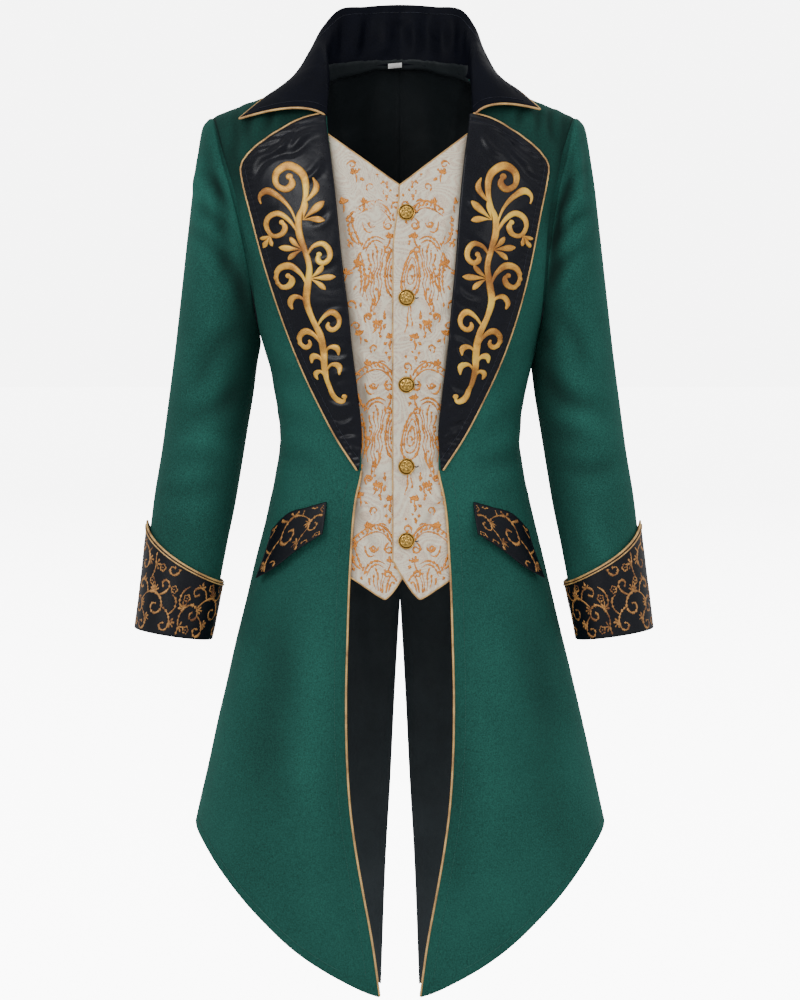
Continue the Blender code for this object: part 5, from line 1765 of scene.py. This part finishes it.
class COAT_OT_collar(TailcoatMaker, bpy.types.Operator):
    """Make the tall satin collar, whose wings fold out, and the cord round each wing"""

    bl_idname = "coat.collar"
    bl_label = "Collar"

    def execute(self, context):
        sheet, normal = collar_sheet()
        half = normal * COLLAR_WALL / 2
        piece("satin_collar", "", sheet + half, sheet - half)
        count = int(COLLAR_COUNT * WING_CORD_SHARE)
        for name, wing in (("_right", sheet), ("_left", sheet[::-1])):
            edge = join([wing[0, 1:], wing[1:count, -1]])
            inside = join([wing[1, 1:-1], wing[1:2, -2], wing[1:count, -2]])
            edging("collar", name, edge, inside, (0.2, -1, 0.3))
        return {"FINISHED"}


def vest_first(side):
    """Where a side of the vest begins at the closing: the right one lies a little back under the left."""
    return -VEST_LAP if side > 0 else -VEST_LAP + LAP_BACK


def vest_plane(side):
    """The vest's fine grid from the hem up and the closing out to under the front: x, z and share up."""
    share = shares(92)[None, :]
    rise = shares(250)[:, None]
    first = vest_first(side)
    top_x, top_z = (low + (high - low) * share for low, high in zip(VEST_V, VEST_TOP))
    foot_z = follow(VEST_HEM, "z", first + (VEST_FOOT - first) * share)
    z = foot_z + (top_z - foot_z) * rise
    x = first + (follow(FRONT_EDGE, "x", z) + VEST_UNDER - first) * share
    return x + (top_x - x) * ease(VEST_TURN, 1, rise), z, rise


def vest_point(x, z, rise, side, high):
    """Points on the vest: below the V its closing stands a little to the wearer's left."""
    seen = VEST_CENTRE * (1 - ease(VEST_TURN, 1, rise)) + leaned(side, x, z)
    return on_front(seen, z, vest_lift(x, z, side) + high)


class COAT_OT_vest(TailcoatMaker, bpy.types.Operator):
    """Make the two brocade sides of the sewn-in vest with their woven pattern and edge cord"""

    bl_idname = "coat.vest"
    bl_label = "Vest front"

    def execute(self, context):
        repeats = []
        for k in range(-1, 3):
            repeats += moved(vest_repeat(), 0, VEST_PATTERN_TOP - k * VEST_REPEAT)
        for side, name in SIDES:
            x, z, rise = vest_plane(side)
            outer, inner = (vest_point(x, z, rise, side, high) for high in (0, -BROCADE))
            # Painted shadow of the lapel beside and under its edge, and painted shade in the vest's folds'
            # hollows
            edge = follow(FRONT_EDGE, "x", z) - ROLL_OUT * ease(BREAK_POINT, ROLL_FULL, z)
            lapel_shadow = bell(np.maximum(edge - x, 0), 0, VEST_SHADE_REACH)
            hollow = np.maximum(-folds(x, z, VEST_FOLDS[side]), 0)
            shading = np.clip(0.8 * lapel_shadow + VEST_FOLD_SHADE * hollow, 0, 0.85)
            piece("brocade_vest", name, outer, inner, shading=shading)
            middle = (outer + inner) / 2
            edge = join([middle[-1, -2:0:-1], middle[::-1, 0], middle[0, 1:-1]])
            near = middle[1:-1, 1]
            inside = join([middle[-2, -2:0:-1], near[-1:], near[::-1], near[:1], middle[1, 1:-1]])
            edging("vest", name, edge, inside, (0, -1, 0))

            def place(u, v, high, side=side):
                return vest_point(u, v, (v - VEST_V[1] + VEST_TALL) / VEST_TALL, side, high)

            def allowed(u, v, side=side):
                top = VEST_V[1] + (VEST_TOP[1] - VEST_V[1]) * np.clip(u / VEST_TOP[0], -1, 1)
                foot = follow(VEST_HEM, "z", u)
                out = follow(FRONT_EDGE, "x", v) + 0.006
                start = vest_first(side) + 0.003 + np.maximum(v - VEST_V[1] + 0.002, 0) * 1.3
                return (v < top - VEST_MARGIN) & (v > foot + VEST_MARGIN) & (u > start) & (u < out)

            drawn = kept(roughened(repeats, 1.12, 0.4), allowed)
            pattern("vest_pattern" + name, drawn, place, "motif")
        return {"FINISHED"}


def flap_point(along, down, high, side):
    """Points on a pocket flap by the shares of its width and height; its free edge stands off."""
    ends = [rows["x"][0] + (rows["x"][-1] - rows["x"][0]) * along for rows in (FLAP_TOP, FLAP_FOOT)]
    top_z, foot_z = follow(FLAP_TOP, "z", ends[0]), follow(FLAP_FOOT, "z", ends[1])
    x, z = ends[0] + (ends[1] - ends[0]) * down, top_z + (foot_z - top_z) * down
    lift = LAY_GAP + FLAP_STAND * np.clip(down, 0, 1) ** 1.5 + SATIN
    return on_front(side * x, z, lift + FLAP_WAVE * np.sin(7 * along + side) * down + high)


class COAT_OT_flaps(TailcoatMaker, bpy.types.Operator):
    """Make the two damask pocket flaps with their gold vine"""

    bl_idname = "coat.flaps"
    bl_label = "Pocket flaps"

    def execute(self, context):
        along, down = np.meshgrid(shares(64), shares(42), indexing="ij")
        drawn = moved(vine_repeat(), -0.012, -0.006) + moved(vine_repeat(), 0.08, -0.006)

        def allowed(x, y):
            return (x > 0.002) & (x < FLAP_WIDE - 0.002) & (y > 0.001) & (y < FLAP_HIGH - 0.002)

        drawn = kept(roughened(drawn, 0.7, 0.2), allowed)
        for side, name in SIDES:
            outer, inner = (flap_point(along, down, high + 0 * along, side) for high in (0, -SATIN))
            piece("damask_flap", name, outer, inner)

            def place(x, y, high, side=side):
                return flap_point(x / FLAP_WIDE, 1 - y / FLAP_HIGH, high, side)

            pattern("flap_vine" + name, drawn, place, "vine")
        return {"FINISHED"}


def button_relief(radius, angle):
    """A button's height by share of its radius: a rolled rim, a groove, and a dome with a six-leaf rosette.

    The rosette is a cosine of six times the angle under a bell about half the radius, round a small knob.
    """
    dome = 0.34 + 0.58 * np.sqrt(np.clip(1 - (radius / 0.86) ** 2, 0, 1))
    rim = 0.26 + 0.36 * np.sqrt(np.clip(1 - ((radius - 0.91) / 0.09) ** 2, 0, 1))
    leaves = 0.15 * np.cos(6 * angle) * bell(radius, 0.47, 0.17)
    veins = -0.035 * np.abs(np.cos(3 * angle)) ** 12 * bell(radius, 0.47, 0.12)
    knob = 0.1 * bell(radius, 0, 0.13) - 0.06 * bell(radius, 0.22, 0.05)
    beads = 0.02 * np.cos(30 * angle) * bell(radius, 0.72, 0.035)
    groove = 0.1 * bell(radius, 0.8, 0.035)
    return np.where(radius < 0.82, dome + leaves + veins + knob + beads, rim) - groove


class COAT_OT_buttons(TailcoatMaker, bpy.types.Operator):
    """Make the five gilt buttons and the dark thread of each buttonhole"""

    bl_idname = "coat.buttons"
    bl_label = "Buttons"

    def execute(self, context):
        radius = join([np.linspace(0.02, 0.8, 22), np.linspace(0.83, 1, 10)])[:, None]
        rings_out = join([radius, [[0.97], [0.86]]])
        angle = circle(BUTTON_TURNS)[None, :]
        faces = tube(len(rings_out), BUTTON_TURNS)
        holes = []
        for number, (height, lift) in enumerate(zip(BUTTONS["z"], BUTTONS["lift"]), 1):
            seat = VEST_LIFT + lift
            base, ahead = (on_front(BUTTON_X, height, seat + rise) for rise in (0, BUTTON_HEIGHT))
            axis = unit(ahead - base)
            across = unit(np.cross(axis, (0, 0, 1)))
            turned = angle + 0.37 * number
            rise = join([button_relief(radius, turned), np.repeat([[0.16], [0]], BUTTON_TURNS, 1)])
            # Painted shade in the button's hollows: its groove, between the rosette's leaves, round the knob
            # and on its back
            shade_between_leaves = 0.7 * (0.5 - 0.5 * np.cos(6 * turned)) * bell(radius, 0.5, 0.13)
            low = bell(radius, 0.8, 0.04) + shade_between_leaves + 0.7 * bell(radius, 0.23, 0.05)
            low = np.clip(low, 0, 1)
            low = join([low, np.full((2, BUTTON_TURNS), 0.6)])
            spread = across * np.cos(angle)[..., None] + np.cross(across, axis) * np.sin(angle)[..., None]
            rings = base + axis * BUTTON_HEIGHT * rise[..., None]
            rings = rings + spread * BUTTON_RADIUS * rings_out[..., None]
            gilt, name = [finish("metal")], f"gilt_button_{number}"
            made = finished(name, rings.reshape(-1, 3), faces, gilt, sharp=0.9)
            mark(made, "recess", low.ravel())
            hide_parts(f"button_{number}")
            x = BUTTON_X + BUTTON_RADIUS + np.linspace(-0.002, 0.0045, 12)
            holes.append(np.stack([x - VEST_CENTRE, height + 0.0006 * np.sin(900 * x), 0 * x + 0.0007], 1))

        def place(x, y, high):
            return on_front(VEST_CENTRE + leaned(1, x, y), y, vest_lift(x, y, 1) + high)

        pattern("buttonhole_threads", holes, place, "black_thread", 2)
        return {"FINISHED"}


# How a grid is turned so that one of its borders becomes its first column
BORDERS = {
    "inner": lambda grid: grid,
    "outer": lambda grid: grid[:, ::-1],
    "foot": lambda grid: np.swapaxes(grid, 0, 1),
    "top": lambda grid: np.swapaxes(grid[::-1], 0, 1),
}


def stitch_line(face_at, border, distance, first, last=None):
    """The points of a cloth's face at one distance from one border, and the directions outwards there.

    `face_at` gives the face's points at a lift. `first` and `last` say which part of the line is sewn.
    """
    face, above = (BORDERS[border](face_at(lift)) for lift in (0, 0.001))
    away = np.linalg.norm(face - face[:, :1], axis=-1)
    share = np.array([np.interp(distance, line, np.arange(len(line))) for line in away])
    low = np.clip(np.floor(share).astype(int), 0, face.shape[1] - 2)
    rest = (share - low)[:, None]
    rows = np.arange(len(face))
    points, over = (grid[rows, low] * (1 - rest) + grid[rows, low + 1] * rest for grid in (face, above))
    return points[first:last], unit(over - points)[first:last]


# Rows of stitches by part: thread, slot, then border, distance from it, and the first and last point
TOPSTITCHES = {
    "front": (
        "green_thread", "green_velvet", ("inner", FRONT_TOPSTITCH, 4, FINE[1] - 2),
        ("foot", HEM_TOPSTITCH, 5),
    ),
    "back": ("green_thread", "green_velvet", ("inner", FRONT_TOPSTITCH, 5), ("foot", HEM_TOPSTITCH, 5)),
    "lapel": ("black_thread", "black_satin", ("outer", 0.0085, 6, -4), ("top", 0.0085, 2, -6)),
    "collar": ("black_thread", "black_satin", ("outer", 0.0085, 0, -7), ("top", 0.0085, 4, -6)),
    "vest": ("silver", "silver_brocade", ("top", 0.007, 4, -4)),
}


class COAT_OT_stitching(TailcoatMaker, bpy.types.Operator):
    """Make the rows of topstitching along the fronts, backs, lapels, collar and vest"""

    bl_idname = "coat.stitching"
    bl_label = "Topstitching"

    def execute(self, context):
        sheet, normal = collar_sheet()
        x, z = lapel_plane()
        for side, name in SIDES:
            half = slice(COLLAR_COUNT, None) if side > 0 else slice(COLLAR_COUNT - 2, None, -1)
            wing, out = sheet[half], normal[half]
            vest_x, vest_z, rise = vest_plane(side)
            faces = {
                "front": lambda lift: panel_face(side, True, lift),
                "back": lambda lift: panel_face(side, False, lift),
                "lapel": lambda lift: on_front(leaned(side, x, z), z, lapel_lift(x, z, side) + lift),
                "collar": lambda lift: wing + out * (COLLAR_WALL / 2 + lift),
                "vest": lambda lift: vest_point(vest_x, vest_z, rise, side, lift),
            }
            for part, (thread, slot, *rows) in TOPSTITCHES.items():
                paths = [stitch_line(faces[part], *row) for row in rows]
                if part == "back":
                    points, away = paths[0]
                    vent = points[:, 2] < VENT_TOP
                    paths[0] = points[vent], away[vent]
                stitches(f"{part}_stitches{name}", paths, finish(thread))
        return {"FINISHED"}


class COAT_OT_label(TailcoatMaker, bpy.types.Operator):
    """Make the plain white tab at the neck"""

    bl_idname = "coat.label"
    bl_label = "Neck tab"

    def execute(self, context):
        across, up = np.meshgrid(shares(34), shares(18), indexing="xy")
        x = LABEL_X[0] + (LABEL_X[1] - LABEL_X[0]) * across
        z = LABEL_Z[0] + (LABEL_Z[1] - LABEL_Z[0]) * up + 0.0016 * (across - 0.5)
        line = neck_line(1)[0][:NECK_COLUMNS]
        face = np.interp(np.abs(x), line[:, 0], line[:, 1]) - COLLAR_WALL - 2 * SEAM_GAP - LABEL_CLEAR
        face = face - 0.0007 * np.sin(np.pi * up) - 0.0004 * np.sin(5 * across)
        outer, inner = (np.stack([x, y, z], -1) for y in (face - LABEL_WALL, face))
        made = cloth("plain_neck_tab", outer, inner, [finish("white")])
        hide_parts("neck_label")
        return {"FINISHED"}


def area_light(name, place, aim, size, power):
    """A square soft light that looks from one place to another."""
    light = bpy.data.lights.new(name, "AREA")
    light.shape, light.size, light.energy = "SQUARE", size, power
    made = bpy.data.objects.new(name, light)
    made.location = place
    direction = mathutils.Vector(aim) - mathutils.Vector(place)
    made.rotation_euler = direction.to_track_quat("-Z", "Y").to_euler()
    made.visible_camera = False
    bpy.context.scene.collection.objects.link(made)
    return made


class COAT_OT_stage(TailcoatMaker, bpy.types.Operator):
    """Make the pale floor and backdrop, the soft studio lights and the camera"""

    bl_idname = "coat.stage"
    bl_label = "Stage"

    def execute(self, context):
        pale = Finish("pale_floor", 0.9, level=0.1, emission_strength=FLOOR_GLOW)
        floor = context.scene.tailcoat_colours.floor
        pale.set("Base Color", pale.tones(pale.noise(0.7, 1), floor, (0.3, 0.985), (0.7, 1)))
        away = pale.put("ShaderNodeVectorMath", {0: pale.place}, operation="LENGTH").outputs["Value"]
        seen = pale.put("ShaderNodeLightPath").outputs["Is Camera Ray"]
        glow = pale.span(away, 1.5, 15, 1, FLOOR_FAR)
        pale.set("Emission Color", reckon(pale.tree, "MULTIPLY", glow, seen))
        turn = circle(96)[:, None]
        out = FLOOR_REACH * np.linspace(0.001, 1, 9) ** 2
        points = np.stack(np.broadcast_arrays(out * np.cos(turn), out * np.sin(turn), FLOOR_Z + 0 * out), -1)
        number = np.arange(96 * len(out)).reshape(96, len(out))
        faces = quads(join([number, number[:1]]))[:, ::-1].tolist() + [number[:, 0].tolist()]
        mesh = bpy.data.meshes.new("pale_floor")
        mesh.from_pydata(points.reshape(-1, 3).tolist(), [], faces)
        mesh.materials.append(pale.material)
        ground = bpy.data.objects.new("pale_floor", mesh)
        context.scene.collection.objects.link(ground)

        world = context.scene.world = bpy.data.worlds.new("soft_room")
        world.use_nodes = True
        tree = world.node_tree
        seen = put(tree, "ShaderNodeLightPath").outputs["Is Camera Ray"]
        sockets = {"Value": seen, "To Min": WORLD_LIGHT, "To Max": WORLD_SEEN}
        tree.nodes["Background"].inputs["Color"].default_value = (1, 1, 1, 1)
        strength = put(tree, "ShaderNodeMapRange", sockets).outputs["Result"]
        tree.links.new(strength, tree.nodes["Background"].inputs["Strength"])
        for row in LIGHTS:
            made = area_light(*row)
        made.visible_diffuse = False

        camera = bpy.data.cameras.new("camera")
        camera.sensor_fit, camera.sensor_height, camera.lens = "VERTICAL", 36, CAMERA_LENS
        camera.clip_end = 40
        eye = context.scene.camera = bpy.data.objects.new("camera", camera)
        angle = np.radians(CAMERA_RISE)
        eye.location = (0, -CAMERA_AWAY * np.cos(angle), CAMERA_AIM + CAMERA_AWAY * np.sin(angle))
        eye.rotation_euler = (np.pi / 2 - angle, 0, 0)
        context.scene.collection.objects.link(eye)
        return {"FINISHED"}


# The user's sizes and colours


def length(name, about, default):
    settings = {"min": 0, "unit": "LENGTH", "precision": 5}
    return bpy.props.FloatProperty(name=name, description=about, default=default, **settings)


def colour(name, about, default):
    settings = {"size": 3, "min": 0, "max": 1, "subtype": "COLOR"}
    return bpy.props.FloatVectorProperty(name=name, description=about, default=default, **settings)


class TailcoatSizes(bpy.types.PropertyGroup):
    """Sizes of the trim, in metres"""

    cord_radius: length("Cord", "Radius of the gold cord on the coat's edges", 0.0013)
    vest_cord_radius: length("Vest cord", "Radius of the cord on the vest's edges", 0.0009)
    cord_twist: length("Twist", "Length of cord for one whole turn of its plies", 0.0075)
    embroidery_height: length("Embroidery", "How far the lapel's embroidery stands up", 0.0011)
    weave_height: length("Woven pattern", "How far the brocade's and damask's pattern stands up", 0.00022)
    stitch: length("Stitch", "Length of one stitch", 0.0026)
    stitch_pitch: length("Stitch pitch", "Distance from one stitch to the next", 0.0036)
    thread: length("Thread", "Thickness of the sewing thread", 0.0005)


class TailcoatColours(bpy.types.PropertyGroup):
    """Colours of the finishes"""

    velvet: colour("Velvet", "Green of the velvet", (0.015, 0.09, 0.0705))
    satin: colour("Satin", "Black of the lapels, collar and damask", (0.0038, 0.0046, 0.0088))
    lining: colour("Lining", "Black of the lining", (0.026, 0.033, 0.037))
    silver: colour("Silver", "Ground of the vest's brocade", (0.93, 0.75, 0.57))
    motif: colour("Brocade pattern", "Orange gold of the vest's pattern", (0.9, 0.31, 0.04))
    vine: colour("Damask pattern", "Gold of the cuffs' and flaps' pattern", (0.5, 0.235, 0.066))
    gold: colour("Embroidery", "Gold of the lapels' embroidery", (0.88, 0.44, 0.06))
    cord: colour("Cord", "Gold of the cord", (0.7, 0.42, 0.15))
    metal: colour("Metal", "Gilt of the buttons", (0.66, 0.4, 0.095))
    floor: colour("Floor", "Pale floor", (0.8, 0.8, 0.8))


PIECES = (
    COAT_OT_stage, COAT_OT_backs, COAT_OT_fronts, COAT_OT_sleeves,
    COAT_OT_cuffs, COAT_OT_vest, COAT_OT_lapels, COAT_OT_collar,
    COAT_OT_flaps, COAT_OT_buttons, COAT_OT_stitching, COAT_OT_label,
)


class COAT_PT_pieces(bpy.types.Panel):
    """The coat's pieces, sizes and colours"""

    bl_idname = "COAT_PT_pieces"
    bl_label = "Tailcoat"
    bl_space_type = "VIEW_3D"
    bl_region_type = "UI"
    bl_category = "Tailcoat"

    def draw(self, context):
        for kind, group_name in ((TailcoatSizes, "tailcoat_sizes"), (TailcoatColours, "tailcoat_colours")):
            column = self.layout.column(align=True)
            for key in kind.__annotations__:
                column.prop(getattr(context.scene, group_name), key)
        for piece in PIECES:
            self.layout.operator(piece.bl_idname)


CLASSES = (TailcoatSizes, TailcoatColours, *PIECES, COAT_PT_pieces)


def register():
    for each in CLASSES:
        bpy.utils.register_class(each)
    bpy.types.Scene.tailcoat_sizes = bpy.props.PointerProperty(type=TailcoatSizes)
    bpy.types.Scene.tailcoat_colours = bpy.props.PointerProperty(type=TailcoatColours)


def unregister():
    del bpy.types.Scene.tailcoat_colours
    del bpy.types.Scene.tailcoat_sizes
    for each in reversed(CLASSES):
        bpy.utils.unregister_class(each)


def main():
    register()
    for piece in PIECES:
        family, name = piece.bl_idname.split(".")
        getattr(getattr(bpy.ops, family), name)()
    bpy.context.view_layer.update()


if __name__ == "__main__":
    main()
